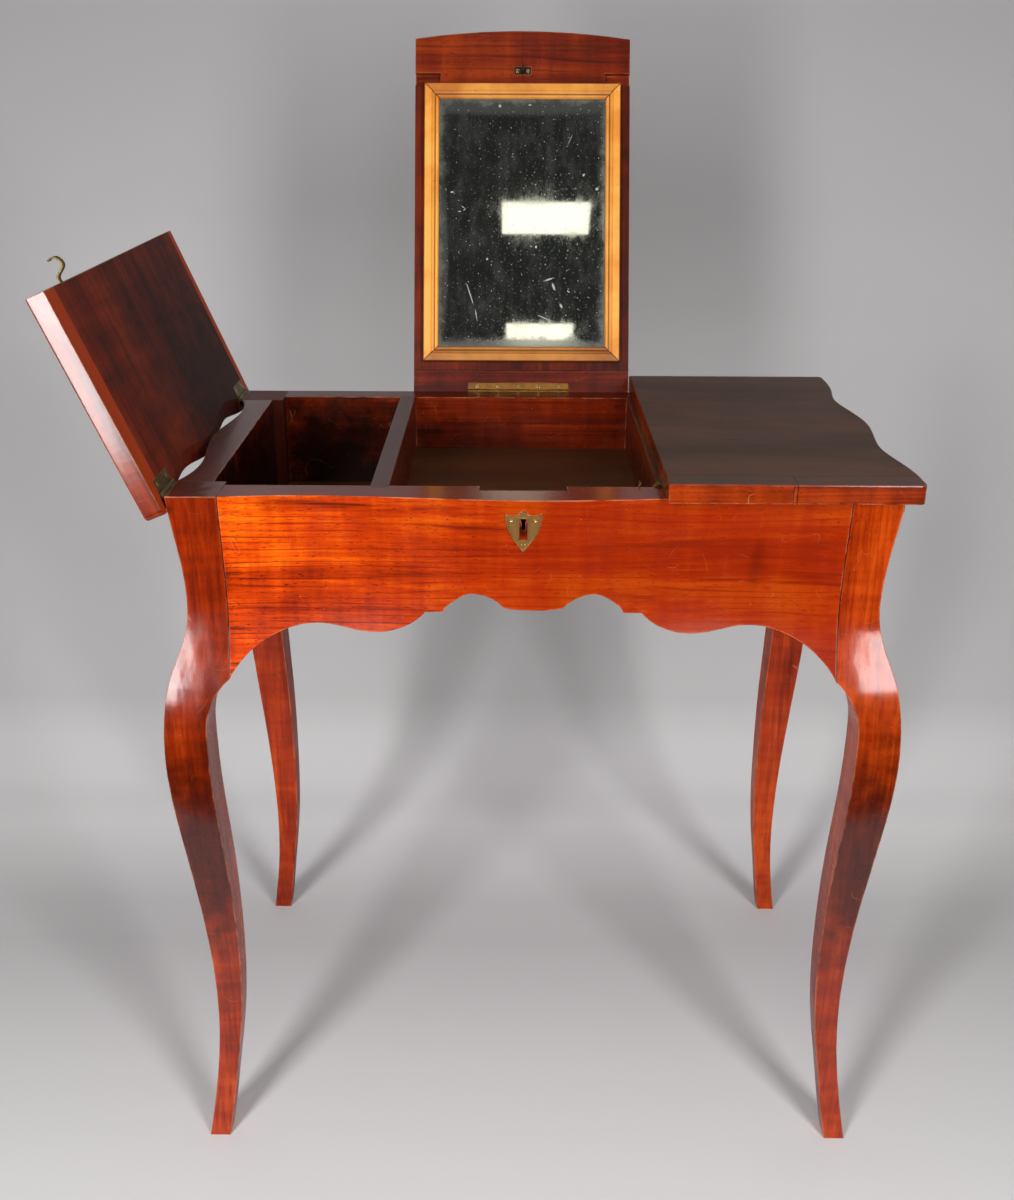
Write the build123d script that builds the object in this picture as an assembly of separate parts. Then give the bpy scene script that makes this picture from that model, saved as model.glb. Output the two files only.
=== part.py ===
"""Poudreuse: a small serpentine dressing table on four cabriole legs.

The top is in three parts over a shallow tray and two deep wells.  Left and right
lids swing outward, and a centre panel with a looking-glass on its underside
swings up and back.  Modelled in millimetres, +X to the sitter's right, -Y
towards the sitter, +Z up.  The working frame has its origin on the floor under
the middle of the case; place_on_origin() then moves the finished table so that
the origin is on the floor under the middle of its whole bounding box.

Pose as built: left lid and looking-glass panel fully open, right lid closed.
"""

import math
import os

from build123d import *

# ---- case ------------------------------------------------------------------
CASE_W = 664.0          # over the corner posts, at the top
CASE_D = 408.0
RAIL_TOP = 730.0        # top edge of aprons, posts and partitions
HALF_W = CASE_W / 2
HALF_D = CASE_D / 2
POST = 46.7             # square corner post, integral with the leg
POST_X = HALF_W - POST  # inner faces of the posts
POST_Y = HALF_D - POST
APRON_SIDE = 35.0       # thickness of the side aprons at the posts
APRON_FRONT = 36.0
APRON_REAR = 29.0
APRON_H = 177.0         # height of the aprons at the posts
KNEE_Z = RAIL_TOP - APRON_H
IN_X = HALF_W - APRON_SIDE      # inner faces of the case
IN_FRONT = HALF_D - APRON_FRONT
IN_REAR = HALF_D - APRON_REAR
TENON = 18.0            # length
TENON_T = 12.0          # thickness
TENON_DROP = (15.0, 130.0)      # top and bottom, below the rail top
TENON_SET = 14.0        # tenon cheek behind the outer line of the case

# leg outline, the same seen from the front and from the side, as distance in from
# the outer corner line of the case: at heights above the floor, then at drops
# below the rail top
LEG_OUTER_LOW = [(0, -15.5), (60, -6.0), (120, 0.4), (185, 2.0), (280, -3.0)]
LEG_OUTER_HIGH = [(350, -13.0), (250, -18.9), (208, -15.7), (178, -9.5), (153, 0.0), (127, 7.2),
                  (98, 9.0), (50, 5.5), (0, 0.0)]
LEG_INNER_LOW = [(0, 5.9), (66, 15.7), (150, 26.4), (240, 30.0), (345, 27.9)]
LEG_INNER_HIGH = [(300, 23.4), (238, 22.6), (202, 28.2), (APRON_H, POST)]

# plan curves of front and sides: set-in from the straight line between the posts,
# at the post, at a distance in from the post, and in the middle
FRONT_HOLLOW_IN = 77.3
FRONT_HOLLOW = 6.0
FRONT_SWELL = 6.5
SIDE_HOLLOW_IN = 62.3
SIDE_HOLLOW = 10.0

# lower edges: (distance in from the post, drop below the rail top)
END_SWEEP = [(0.0, APRON_H), (40.3, 139.0), (87.3, 128.0)]
FRONT_LOBE = [(131.3, 135.5), (160.3, 131.0), (184.3, 114.5)]
REAR_SWEEP = [(0.0, APRON_H), (40.3, 139.0), (95.0, 130.0)]
SIDE_LOBE = 137.0       # drop in the middle of the sides
FRONT_ARCH = [(84.0, 113.5), (76.0, 104.0), (57.0, 94.5), (33.0, 102.5), (0.0, 110.0)]  # from the middle

# ---- inside ----------------------------------------------------------------
BAY_X = -10.0           # middle of the tray bay, off the middle of the case
BAY_HALF = 123.5
PARTITION = 17.0
PARTITION_H = 120.0
HOUSING = 6.0           # how far partitions are let into front and rear
GROOVE = 4.0            # how far floors are let into sides and partitions
TRAY_DEPTH = 61.0
TRAY_FLOOR = 7.0
WELL_DEPTH = 103.0
WELL_FLOOR = 9.0

# ---- lids and looking-glass panel ------------------------------------------
LID_T = 18.0
LID_FRONT = -HALF_D - 13.0
LID_REAR = HALF_D + 9.0
LID_EAR = HALF_W + 14.0         # outermost line of the right lid
LEFT_EAR = HALF_W + 18.5        # the left lid reaches further out
LID_WAVE = 10.0                 # depth of the two notches in the outer edge
LID_WAVE_END = HALF_D - 12.0    # the outer edge runs straight from here on
LID_CORNER_R = 6.0
ARRIS = 1.6
PANEL_LAP = 3.8                 # how far the centre panel lies over each partition
PANEL_HALF = BAY_HALF + PANEL_LAP
PANEL_PLAY = 0.7                # gap between panel and lids
SIDE_PLAY = 1.0                 # gap between the overhang's front end and the case when open
PANEL_CORNER = -HALF_D - 8.0
PANEL_ARCH = 9.5                # rise of the panel's arched front edge
FRONT_EDGING = 26.0
REAR_EDGING = 13.0
BEVEL_IN = 1.5                  # the bevel under the overhang starts this far inside the hinge line
EDGING_JOINT_X = LID_EAR - 118.0    # butt joint in the right lid's front edging
HEAD_RAIL = 55.0
FOOT_RAIL = 31.5
HEAD_RAIL_Y = PANEL_CORNER + HEAD_RAIL
FOOT_RAIL_Y = LID_REAR - FOOT_RAIL
OPEN_ANGLE = 112.5              # stop of the left lid and the panel, past closed

# ---- looking-glass ---------------------------------------------------------
FRAME_W = 2 * (BAY_HALF - 7.5)  # outside the moulding, clear of the partitions
FRAME_Y = (IN_REAR - 3.3, HEAD_RAIL_Y)
MOULD_W = 17.5
MOULD_H = 9.0
MOULD_EDGE = 7.2                # height of the square outer edge, under a small round
MOULD_FLAT = 8.6                # where the flat ends and the hollow starts
MOULD_HOLLOW = 6.2
MOULD_BEAD = 7.3
MOULD_SIGHT = 5.0
GLASS_T = 3.0
REBATE = 5.0
REBATE_PLAY = 0.3
GLASS_PLAY = 0.5

# ---- hinges ----------------------------------------------------------------
KNUCKLE_GAP = 0.4
PIN_PLAY = 0.05
POCKET_PLAY = 0.4
BUTT_GAP = (0.9, 1.8)           # left of the post's top inside and outside the butt
BUTT_L = POST - BUTT_GAP[0] - BUTT_GAP[1]
BUTT_LEAF = 15.0
BUTT_T = 1.4
BUTT_R = 2.8
BUTT_PIN_R = 1.3
BUTT_PITCH = 30.0
BUTT_AXIS_OUT = 3.5             # hinge line clear of the case's side
BUTT_AXIS_X = HALF_W + BUTT_AXIS_OUT
BUTT_DROP = 12.0                # height of the leaf let into the side of the post
BUTT_Y = POST_Y + BUTT_GAP[0] + BUTT_L / 2
STRAP_L = 119.0
STRAP_LEAF = 10.0
STRAP_T = 1.2
STRAP_R = 2.0
STRAP_PIN_R = 1.0
STRAP_PITCH = 24.0
STRAP_AXIS_Y = HALF_D + 2.2
STRAP_X = BAY_X - 3.5
SCREW_R = 1.2
SCREW_HEAD_R = 2.4
SCREW_L = 10.0
SCREW_POINT = 2.0
SCREW_SLOT = 0.5
SCREW_PLAY = 0.05

# ---- hooks -----------------------------------------------------------------
HOOK_W = 7.0
HOOK_T = 1.5
HOOK_Y = -IN_FRONT + 0.5 + HOOK_W / 2   # clear of the front apron
HOOK_LIFT = 1.75                # middle of the strap over the rail top
HOOK_FLAT = PANEL_LAP + PANEL_PLAY + 1.0    # straight over the partition
HOOK_REACH = 21.0
HOOK_DIP = 8.5                  # of the curl, into the tray
HOOK_PLATE = 28.0
HOOK_PLATE_Z = (1.0, 10.0)
HOOK_SCREWS = (5.0, 16.0)
POCKET_L = 30.0
POCKET_H = 8.0
POCKET_ROOM = 4.0

# ---- lock and striker ------------------------------------------------------
LOCK_W = 80.0
LOCK_H = 44.0
LOCK_T = 13.0
LOCK_DROP = 3.0                 # below the rail top
LOCK_WALL = 1.5
LOCK_TOP = RAIL_TOP - LOCK_DROP
LOCK_SCREW_IN = 6.0
LOCK_SCREW_PITCH = 24.0
KEY_X = BAY_X
KEY_Z = RAIL_TOP - 20.0
KEY_R = 2.7
KEY_SLOT = (3.4, 9.5)           # width, depth below the round
BOLT_T = 3.6
BOLT_H = 3.5
BOLT_NOSE = 10.0
BOLT_TAIL = (16.0, 24.0)        # length and height of the plate behind the nose
BOLT_PLAY = 0.5
BOLT_TOP = LOCK_TOP - LOCK_WALL - 0.7
STAPLE_T = 2.0
STAPLE_W = 8.0
STAPLE_DROP = 11.0
STAPLE_PLATE = (20.0, 9.0, 1.2)
STAPLE_SCREWS = 6.0             # each side of the prong
STAPLE_ROOM = 1.2

# ---- keyhole shield --------------------------------------------------------
SHIELD_W = 33.0
SHIELD_H = 41.5
SHIELD_T = 2.0
SHIELD_SEAT = 0.8
SHIELD_RIM = 1.2
SHIELD_SUNK = 0.6
SHIELD_TOP = RAIL_TOP - 9.0
SHIELD_SCOOP = (6.2, 5.2)       # deepest point of each scoop in the top edge
SHIELD_EAR = 3.8                # drop of the two upper corners
SHIELD_SIDE = [(15.6, 12.0), (12.8, 22.0), (7.3, 32.0)]
WINDOW_W = 7.4
WINDOW_H = 21.0
WINDOW_Y = 18.9
WINDOW_RIM = 1.1
NAIL_UP = (11.0, 10.9)          # place of the two upper nails
NAIL_UP_R = 2.2
NAIL_LOW = (1.5, 34.6)
NAIL_LOW_R = 1.15
NAIL_L = 8.0
NAIL_R = 0.5


# ---- small helpers ---------------------------------------------------------
def block(x, y, z):
    """Box between pairs of coordinates."""
    return Pos(sum(x) / 2, sum(y) / 2, sum(z) / 2) * Box(x[1] - x[0], y[1] - y[0], z[1] - z[0])


def rod(start, axis, radius, length):
    """Cylinder from a point along an axis."""
    return extrude(Plane(start, z_dir=axis) * Circle(radius), length)


def prism(points, plane, length):
    """Straight-sided outline extruded both ways from a plane."""
    return extrude(plane * make_face(Polyline(*points, close=True)), length, both=True)


def group(pieces):
    """Several separate solids as one sub-part."""
    return Compound(children=[solid for piece in pieces for solid in piece.solids()])


def mirror_x(part):
    return mirror(part, about=Plane.YZ)


def mirror_y(part):
    return mirror(part, about=Plane.XZ)


# ---- legs ------------------------------------------------------------------
def leg_curve(low, high, **how):
    """One side of the leg, x measured in from the corner line of the case."""
    points = [(inset, z) for z, inset in low] + [(inset, RAIL_TOP - drop) for drop, inset in high]
    return Spline(*points, **how)


def outer_curve():
    """Outer outline of leg and post."""
    return leg_curve(LEG_OUTER_LOW, LEG_OUTER_HIGH)


def set_in(z):
    """How far the outer face stands in from the corner line at height z."""
    curve = outer_curve()
    low = 0.0
    high = 1.0
    for _ in range(40):
        mid = (low + high) / 2
        if curve.position_at(mid).Y < z:
            low = mid
        else:
            high = mid
    return curve.position_at(low).X


def leg_outline():
    edges = [
        outer_curve(),
        leg_curve(LEG_INNER_LOW, LEG_INNER_HIGH, tangents=[(0.2, 1), (1, 0.75)]),
        Line((LEG_OUTER_LOW[0][1], 0), (LEG_INNER_LOW[0][1], 0)),
        Line((0, RAIL_TOP), (POST, RAIL_TOP)),
        Line((POST, RAIL_TOP), (POST, KNEE_Z)),
    ]
    return make_face(edges)


def leg_blank():
    """Front left leg: the outline sawn through the square stock both ways."""
    reach = 2 * POST
    from_front = extrude(Plane((-HALF_W, -HALF_D, 0), x_dir=(1, 0, 0), z_dir=(0, -1, 0)) * leg_outline(),
                         reach, both=True)
    from_side = extrude(Plane((-HALF_W, -HALF_D, 0), x_dir=(0, 1, 0), z_dir=(1, 0, 0)) * leg_outline(),
                        reach, both=True)
    return (from_front & from_side).solid()


# ---- aprons ----------------------------------------------------------------
def apron_section(back):
    """Hollow-faced section of an apron, flush with the post's outer face."""
    edges = [
        outer_curve(),
        Line((LEG_OUTER_LOW[0][1], 0), (back, 0)),
        Line((back, 0), (back, RAIL_TOP)),
        Line((back, RAIL_TOP), (0, RAIL_TOP)),
    ]
    return make_face(edges) & Pos(0, (KNEE_Z + RAIL_TOP) / 2) * Rectangle(4 * back, RAIL_TOP - KNEE_Z)


def wave_path(end, line, hollow_in, hollow, swell):
    """Plan curve of an apron from post to post, in X along the front."""
    x = end - hollow_in
    return Spline((-end, line), (-x, line + hollow), (0, line - swell), (x, line + hollow), (end, line))


def waved_apron(end, line, thickness, hollow_in, hollow, swell):
    """Apron facing -Y: section carried along the serpentine plan, flat inside."""
    blank = apron_section(thickness + hollow + swell)
    section = Plane((-end, line, 0), x_dir=(0, 1, 0), z_dir=(1, 0, 0)) * blank
    swept = sweep(section, path=wave_path(end, line, hollow_in, hollow, swell), normal=Vector(1, 0, 0))
    return swept - block((-end - 1, end + 1), (line + thickness, 0), (0, RAIL_TOP + 1))


def lower_edge(half_curve):
    """Closed cutter outline below a symmetric lower edge, from its right half."""
    pieces = half_curve + [mirror(edge, about=Plane.YZ) for edge in half_curve]
    end = half_curve[0].position_at(0)
    pieces += [Polyline((end.X, end.Y), (end.X, 0), (-end.X, 0), (-end.X, end.Y))]
    return make_face(pieces)


def drop_points(end_x, points):
    """From (distance in from the post, drop) to outline coordinates."""
    return [(end_x - inward, RAIL_TOP - drop) for inward, drop in points]


def front_lower_edge():
    lobe = drop_points(POST_X, END_SWEEP + FRONT_LOBE)
    arch = [(x, RAIL_TOP - drop) for x, drop in FRONT_ARCH]
    return lower_edge([
        Spline(*lobe),
        Line(lobe[-1], arch[0]),
        Spline(*arch, tangents=[(-0.35, 1), (-1, 0)]),
    ])


def side_lower_edge():
    curve = drop_points(POST_Y, END_SWEEP) + [(0, RAIL_TOP - SIDE_LOBE)]
    return lower_edge([Spline(*curve, tangents=[(-0.6, 1), (-1, 0)])])


def rear_lower_edge():
    curve = drop_points(POST_X, REAR_SWEEP)
    return lower_edge([
        Spline(*curve, tangents=[(-0.6, 1), (-1, 0)]),
        Line(curve[-1], (0, curve[-1][1])),
    ])


def tenons(end, line):
    """Both end tenons of an apron facing -Y whose outer line is y = -line."""
    z = (RAIL_TOP - TENON_DROP[1], RAIL_TOP - TENON_DROP[0])
    right = block((end, end + TENON), (-line + TENON_SET, -line + TENON_SET + TENON_T), z)
    return [right, mirror_x(right)]


def cut_below(apron, outline):
    return apron - extrude(Plane.XZ * outline, 2 * CASE_D, both=True)


def front_apron_blank():
    blank = waved_apron(POST_X, -HALF_D, APRON_FRONT, FRONT_HOLLOW_IN, FRONT_HOLLOW, FRONT_SWELL)
    apron = cut_below(blank, front_lower_edge())
    for tenon in tenons(POST_X, HALF_D):
        apron += tenon
    return apron


def rear_apron_blank():
    """Plain back: hollow-faced but straight in plan."""
    section = Plane((-POST_X, HALF_D, 0), x_dir=(0, -1, 0), z_dir=(-1, 0, 0)) * apron_section(APRON_REAR)
    apron = cut_below(extrude(section, -2 * POST_X), rear_lower_edge())
    for tenon in tenons(POST_X, HALF_D):
        apron += mirror_y(tenon)
    return apron


def side_apron_blank():
    """Left apron, built facing -Y and turned to face -X."""
    blank = waved_apron(POST_Y, -HALF_W, APRON_SIDE, SIDE_HOLLOW_IN, SIDE_HOLLOW, 0.0)
    apron = cut_below(blank, side_lower_edge())
    for tenon in tenons(POST_Y, HALF_W):
        apron += tenon
    return Rot(0, 0, -90) * apron


# ---- partitions and floors -------------------------------------------------
def floor_span(side):
    """X range of a well floor between its side apron and its partition."""
    partition_face = BAY_X + side * (BAY_HALF + PARTITION)
    return sorted((side * (IN_X + GROOVE), partition_face - side * GROOVE))


def partition(side):
    near = BAY_X + side * BAY_HALF
    far = near + side * PARTITION
    return block(sorted((near, far)), (-IN_FRONT - HOUSING, IN_REAR + HOUSING),
                 (RAIL_TOP - PARTITION_H, RAIL_TOP))


def tray_floor():
    reach = BAY_HALF + GROOVE
    top = RAIL_TOP - TRAY_DEPTH
    return block((BAY_X - reach, BAY_X + reach), (-IN_FRONT, IN_REAR), (top - TRAY_FLOOR, top))


def well_floor(side):
    top = RAIL_TOP - WELL_DEPTH
    z = (top - WELL_FLOOR, top)
    board = block(floor_span(side), (-IN_FRONT, IN_REAR), z)
    corner = sorted((side * POST_X, side * HALF_W))
    return board - block(corner, (-HALF_D, -POST_Y), z) - block(corner, (POST_Y, HALF_D), z)


# ---- screws ----------------------------------------------------------------
def screw_profile(play):
    """Half section of a countersunk wood screw, head flush at z = 0, point down."""
    outline = Polyline((0, 0), (SCREW_HEAD_R + play, 0), (SCREW_R + play, -(SCREW_HEAD_R - SCREW_R)),
                       (SCREW_R + play, SCREW_POINT - SCREW_L), (0, -SCREW_L - play), close=True)
    return revolve(Plane.XZ * make_face(outline), Axis.Z)


def screw():
    slot = Box(3 * SCREW_HEAD_R, SCREW_SLOT, 2 * SCREW_SLOT)
    return screw_profile(0) - slot


def screw_set(places):
    """Screws and the holes for them at a list of locations."""
    return [place * screw() for place in places], [place * screw_profile(SCREW_PLAY) for place in places]


def drilled(part, holes):
    for hole in holes:
        part -= hole
    return part


# ---- hinges ----------------------------------------------------------------
def hinge(length, count, lower, upper, radius, pin_r):
    """Closed hinge on the X axis: lower and upper leaf from their (y, z) ranges, and the pin.

    Both leaves lie towards +Y and meet at z = 0, where their knuckles grow out of them.
    """
    step = length / count
    start = -length / 2
    leaves = []
    for first, (y, z) in enumerate((lower, upper)):
        part = block((start, -start), y, z)
        part -= rod((start - 1, 0, 0), (1, 0, 0), radius + KNUCKLE_GAP, length + 2)
        thick = min(y[1] - y[0], z[1] - z[0])
        for number in range(first, count, 2):
            x = start + number * step + KNUCKLE_GAP / 2
            span = step - KNUCKLE_GAP
            part += rod((x, 0, 0), (1, 0, 0), radius, span)
            part += block((x, x + span), (0, radius + 1), sorted((0, thick if first else -thick)))
        part -= rod((start - 1, 0, 0), (1, 0, 0), pin_r + PIN_PLAY, length + 2)
        leaves.append(part)
    return leaves[0], leaves[1], rod((start, 0, 0), (1, 0, 0), pin_r, length)


def pocket(length, radius):
    """Room for the knuckles in the moving wood."""
    return rod((-length / 2 - 0.5, 0, 0), (1, 0, 0), radius + POCKET_PLAY, length + 1)


def seat(length, y, z):
    """Recess for one leaf, open on the side of the knuckles."""
    return block((-length / 2, length / 2), (-3, y[1]), z)


def leaf_screw_places(pitch, count, y, z, turn):
    """Screw places along one leaf, in the hinge's own frame; unturned screws point down."""
    first = -pitch * (count - 1) / 2
    return [Pos(first + pitch * number, y, z) * Rot(turn, 0, 0) for number in range(count)]


def butt_place(y):
    """Place of a right lid butt hinge, leaves turned towards the middle."""
    return Pos(BUTT_AXIS_X, y, RAIL_TOP) * Rot(0, 0, 90)


def strap_place():
    return Pos(STRAP_X, STRAP_AXIS_Y, RAIL_TOP) * Rot(0, 0, 180)


def butt_hinges():
    """Right lid hardware by name; the left lid's is its mirror image."""
    found = {"case_screws": [], "case_holes": [], "lid_screws": [], "lid_holes": [],
             "case_seats": [], "lid_seats": []}
    standing = ((BUTT_AXIS_OUT, BUTT_AXIS_OUT + BUTT_T), (-BUTT_DROP, 0))
    flat = ((0, BUTT_LEAF), (0, BUTT_T))
    middle = (BUTT_R + KNUCKLE_GAP + BUTT_LEAF) / 2
    side_places = leaf_screw_places(BUTT_PITCH, 2, BUTT_AXIS_OUT, -(BUTT_T + BUTT_DROP) / 2, 90)
    lid_places = leaf_screw_places(BUTT_PITCH, 2, middle, 0, 180)
    for name, y in (("front", -BUTT_Y), ("rear", BUTT_Y)):
        place = butt_place(y)
        lower, upper, pin = hinge(BUTT_L, 3, standing, flat, BUTT_R, BUTT_PIN_R)
        sideways, side_holes = screw_set([place * at for at in side_places])
        up, up_holes = screw_set([place * at for at in lid_places])
        found[name + "_case_leaf"] = drilled(place * lower, side_holes)
        found[name + "_lid_leaf"] = drilled(place * upper, up_holes)
        found[name + "_pin"] = place * pin
        found["case_screws"] += sideways
        found["case_holes"] += side_holes
        found["lid_screws"] += up
        found["lid_holes"] += up_holes
        found["case_seats"].append(place * seat(BUTT_L, *standing))
        found["lid_seats"] += [place * pocket(BUTT_L, BUTT_R), place * seat(BUTT_L, *flat)]
    return found


def strap_hinge():
    """Long hinge of the looking-glass panel."""
    place = strap_place()
    middle = (STRAP_R + KNUCKLE_GAP + STRAP_LEAF) / 2
    below = ((0, STRAP_LEAF), (-STRAP_T, 0))
    above = ((0, STRAP_LEAF), (0, STRAP_T))
    lower, upper, pin = hinge(STRAP_L, 5, below, above, STRAP_R, STRAP_PIN_R)
    down, down_holes = screw_set([place * at for at in leaf_screw_places(STRAP_PITCH, 5, middle, 0, 0)])
    up, up_holes = screw_set([place * at for at in leaf_screw_places(STRAP_PITCH, 5, middle, 0, 180)])
    return {
        "case_leaf": drilled(place * lower, down_holes),
        "panel_leaf": drilled(place * upper, up_holes),
        "pin": place * pin,
        "case_screws": down,
        "case_holes": down_holes,
        "panel_screws": up,
        "panel_holes": up_holes,
        "case_seat": place * seat(STRAP_L, *below),
        "panel_seats": [place * pocket(STRAP_L, STRAP_R), place * seat(STRAP_L, *above)],
    }


# ---- lids, built closed on the right-hand side -----------------------------
def rounded_slab(outline):
    """Top board of lid thickness with softened arrises."""
    slab = extrude(Pos(0, 0, RAIL_TOP) * outline, LID_T)
    flats = slab.faces().filter_by(Axis.Z).sort_by(Axis.Z)
    slab = fillet(flats[-1].edges(), ARRIS)
    return slab


def lid_wave(line):
    """Serpentine outer edge, straight at both ends on the given line."""
    notch = line - LID_WAVE
    end = LID_WAVE_END
    return Spline((line, -end), (notch, -end / 2), (line, 0), (notch, end / 2), (line, end),
                  tangents=[(0, 1), (0, 1)])


def lid_outline(inner_x, ear):
    end = LID_WAVE_END
    rest = Polyline((ear, end), (ear, LID_REAR), (inner_x, LID_REAR), (inner_x, LID_FRONT),
                    (ear, LID_FRONT), (ear, -end))
    face = make_face([lid_wave(ear), rest])
    corners = [v for v in face.vertices() if v.X > ear - 1 and abs(v.Y) > end + 1]
    return fillet(corners, LID_CORNER_R)


def ear_bevels(ear):
    """Cuts under the overhang that let the open lid stand clear of the case's side."""
    slope = math.tan(math.radians(OPEN_ANGLE - 90))
    run = ear - BUTT_AXIS_X + BEVEL_IN
    line = ear - run
    outside = Polyline((line, LID_WAVE_END), (2 * ear, LID_WAVE_END), (2 * ear, -LID_WAVE_END),
                       (line, -LID_WAVE_END))
    start = Pos(0, 0, RAIL_TOP) * make_face([lid_wave(line), outside])
    along = Vector(run, 0, run * slope)
    waved = extrude(start, along.length, dir=along) + extrude(start, 1, dir=Vector(0, 0, -1))
    hinge_end = BUTT_Y - BUTT_L / 2 - KNUCKLE_GAP
    waved &= block((0, 2 * ear), (-hinge_end, hinge_end), (RAIL_TOP - 1, RAIL_TOP + LID_T))
    reach = ear + 1
    wedge = make_face(Polyline((BUTT_AXIS_X, RAIL_TOP), (reach, RAIL_TOP),
                               (reach, RAIL_TOP + (reach - BUTT_AXIS_X) * slope), close=True))
    side = HALF_D + SIDE_PLAY
    front = extrude(Plane((0, -side, 0), x_dir=(1, 0, 0), z_dir=(0, -1, 0)) * wedge, hinge_end - side)
    return [waved, front, mirror_y(front)]


def hook(inner_x):
    """Curled brass catch let into the inner edge of a lid."""
    z = RAIL_TOP + HOOK_LIFT
    tip = inner_x - HOOK_REACH + HOOK_T / 2
    flat_end = inner_x - HOOK_FLAT
    spine = Spline((inner_x + HOOK_T / 2, z), (flat_end, z), ((flat_end + tip) / 2, z - HOOK_DIP),
                   (tip + HOOK_T / 2, z - 0.8 * HOOK_DIP), (tip, z + HOOK_T))
    front = Plane((0, HOOK_Y, 0), x_dir=(1, 0, 0), z_dir=(0, -1, 0))
    strap = extrude(front * trace(spine, HOOK_T), HOOK_W / 2, both=True)
    rear = HOOK_Y + HOOK_W / 2
    z_range = (RAIL_TOP + HOOK_PLATE_Z[0], RAIL_TOP + HOOK_PLATE_Z[1])
    return strap + block((inner_x, inner_x + HOOK_T), (rear - HOOK_PLATE, rear), z_range)


def hook_screw_places(inner_x):
    rear = HOOK_Y - HOOK_W / 2
    middle = RAIL_TOP + sum(HOOK_PLATE_Z) / 2
    return [Pos(inner_x, rear - inset, middle) * Rot(0, -90, 0) for inset in HOOK_SCREWS]


def lid(inner_x, ear, hinges):
    """Boards and fittings of a lid, all in the closed pose."""
    screws, holes = screw_set(hook_screw_places(inner_x))
    catch = hook(inner_x)
    slab = drilled(rounded_slab(lid_outline(inner_x, ear)), ear_bevels(ear))
    slab = drilled(slab, hinges["lid_seats"] + [catch] + holes + hinges["lid_holes"])
    wide = (inner_x - 1, ear + 1)
    z = (RAIL_TOP, RAIL_TOP + LID_T)
    joint_front = LID_FRONT + FRONT_EDGING
    joint_rear = LID_REAR - REAR_EDGING
    return {
        "front_edging": slab & block(wide, (LID_FRONT, joint_front), z),
        "board": slab & block(wide, (joint_front, joint_rear), z),
        "rear_edging": slab & block(wide, (joint_rear, LID_REAR), z),
        "hook": drilled(catch, holes),
        "front_leaf": hinges["front_lid_leaf"],
        "rear_leaf": hinges["rear_lid_leaf"],
        "screws": hinges["lid_screws"] + screws,
    }


# ---- looking-glass panel, built closed -------------------------------------
def panel_outline():
    left = BAY_X - PANEL_HALF
    right = BAY_X + PANEL_HALF
    front = ThreePointArc((left, PANEL_CORNER), (BAY_X, PANEL_CORNER - PANEL_ARCH), (right, PANEL_CORNER))
    return make_face([front, Polyline((right, PANEL_CORNER), (right, LID_REAR), (left, LID_REAR),
                                      (left, PANEL_CORNER))])


def hook_pockets():
    """Room for the lids' hooks in the underside of the head rail."""
    y = (HOOK_Y - HOOK_W / 2 - POCKET_ROOM, HEAD_RAIL_Y)
    z = (RAIL_TOP, RAIL_TOP + POCKET_H)
    left = BAY_X - PANEL_HALF
    right = BAY_X + PANEL_HALF
    return [block((left, left + POCKET_L), y, z), block((right - POCKET_L, right), y, z)]


def moulding_section():
    """Moulding on edge: x from its outer edge to the glass, y up from the board."""
    sight = MOULD_W
    lip = sight - REBATE
    glass_top = GLASS_T + REBATE_PLAY
    round_over = MOULD_H - MOULD_EDGE
    bead_out = (MOULD_FLAT + sight) / 2
    bead_in = sight - 0.9
    edges = [
        Line((0, 0), (0, MOULD_EDGE)),
        ThreePointArc((0, MOULD_EDGE), (round_over / 3, MOULD_EDGE + 0.7 * round_over), (round_over, MOULD_H)),
        Line((round_over, MOULD_H), (MOULD_FLAT, MOULD_H)),
        ThreePointArc((MOULD_FLAT, MOULD_H), (MOULD_FLAT + 2, (MOULD_H + MOULD_HOLLOW) / 2 - 0.6),
                      (bead_out, MOULD_HOLLOW)),
        ThreePointArc((bead_out, MOULD_HOLLOW), ((bead_out + bead_in) / 2, MOULD_BEAD),
                      (bead_in, MOULD_HOLLOW)),
        Line((bead_in, MOULD_HOLLOW), (sight, MOULD_SIGHT)),
        Line((sight, MOULD_SIGHT), (sight, glass_top)),
        Line((sight, glass_top), (lip, glass_top)),
        Line((lip, glass_top), (lip, 0)),
        Line((lip, 0), (0, 0)),
    ]
    return make_face(edges)


def moulding(length):
    """Mitred length hanging below the board, outer edge along +X at y = 0, glass towards +Y."""
    plane = Plane((0, 0, 0), x_dir=(0, 1, 0), z_dir=(-1, 0, 0))
    bar = extrude(plane * moulding_section(), length / 2, both=True)
    half = length / 2
    return bar & prism([(-half, 0), (half, 0), (half - MOULD_W, MOULD_W), (MOULD_W - half, MOULD_W)],
                       Plane.XY, 2 * MOULD_H)


def mouldings():
    middle = (FRAME_Y[0] + FRAME_Y[1]) / 2
    height = FRAME_Y[0] - FRAME_Y[1]
    centre = Pos(BAY_X, middle, RAIL_TOP)
    return {
        "head": centre * Pos(0, -height / 2, 0) * moulding(FRAME_W),
        "foot": centre * Rot(0, 0, 180) * Pos(0, -height / 2, 0) * moulding(FRAME_W),
        "left": centre * Rot(0, 0, -90) * Pos(0, -FRAME_W / 2, 0) * moulding(height),
        "right": centre * Rot(0, 0, 90) * Pos(0, -FRAME_W / 2, 0) * moulding(height),
    }


def looking_glass():
    inset = MOULD_W - REBATE + GLASS_PLAY
    return block((BAY_X - FRAME_W / 2 + inset, BAY_X + FRAME_W / 2 - inset),
                 (FRAME_Y[1] + inset, FRAME_Y[0] - inset), (RAIL_TOP - GLASS_T, RAIL_TOP))


# ---- lock ------------------------------------------------------------------
def lock_y():
    """Middle of the lock's thickness; the lock is flush with the apron's inner face."""
    return -IN_FRONT - LOCK_T / 2


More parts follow.
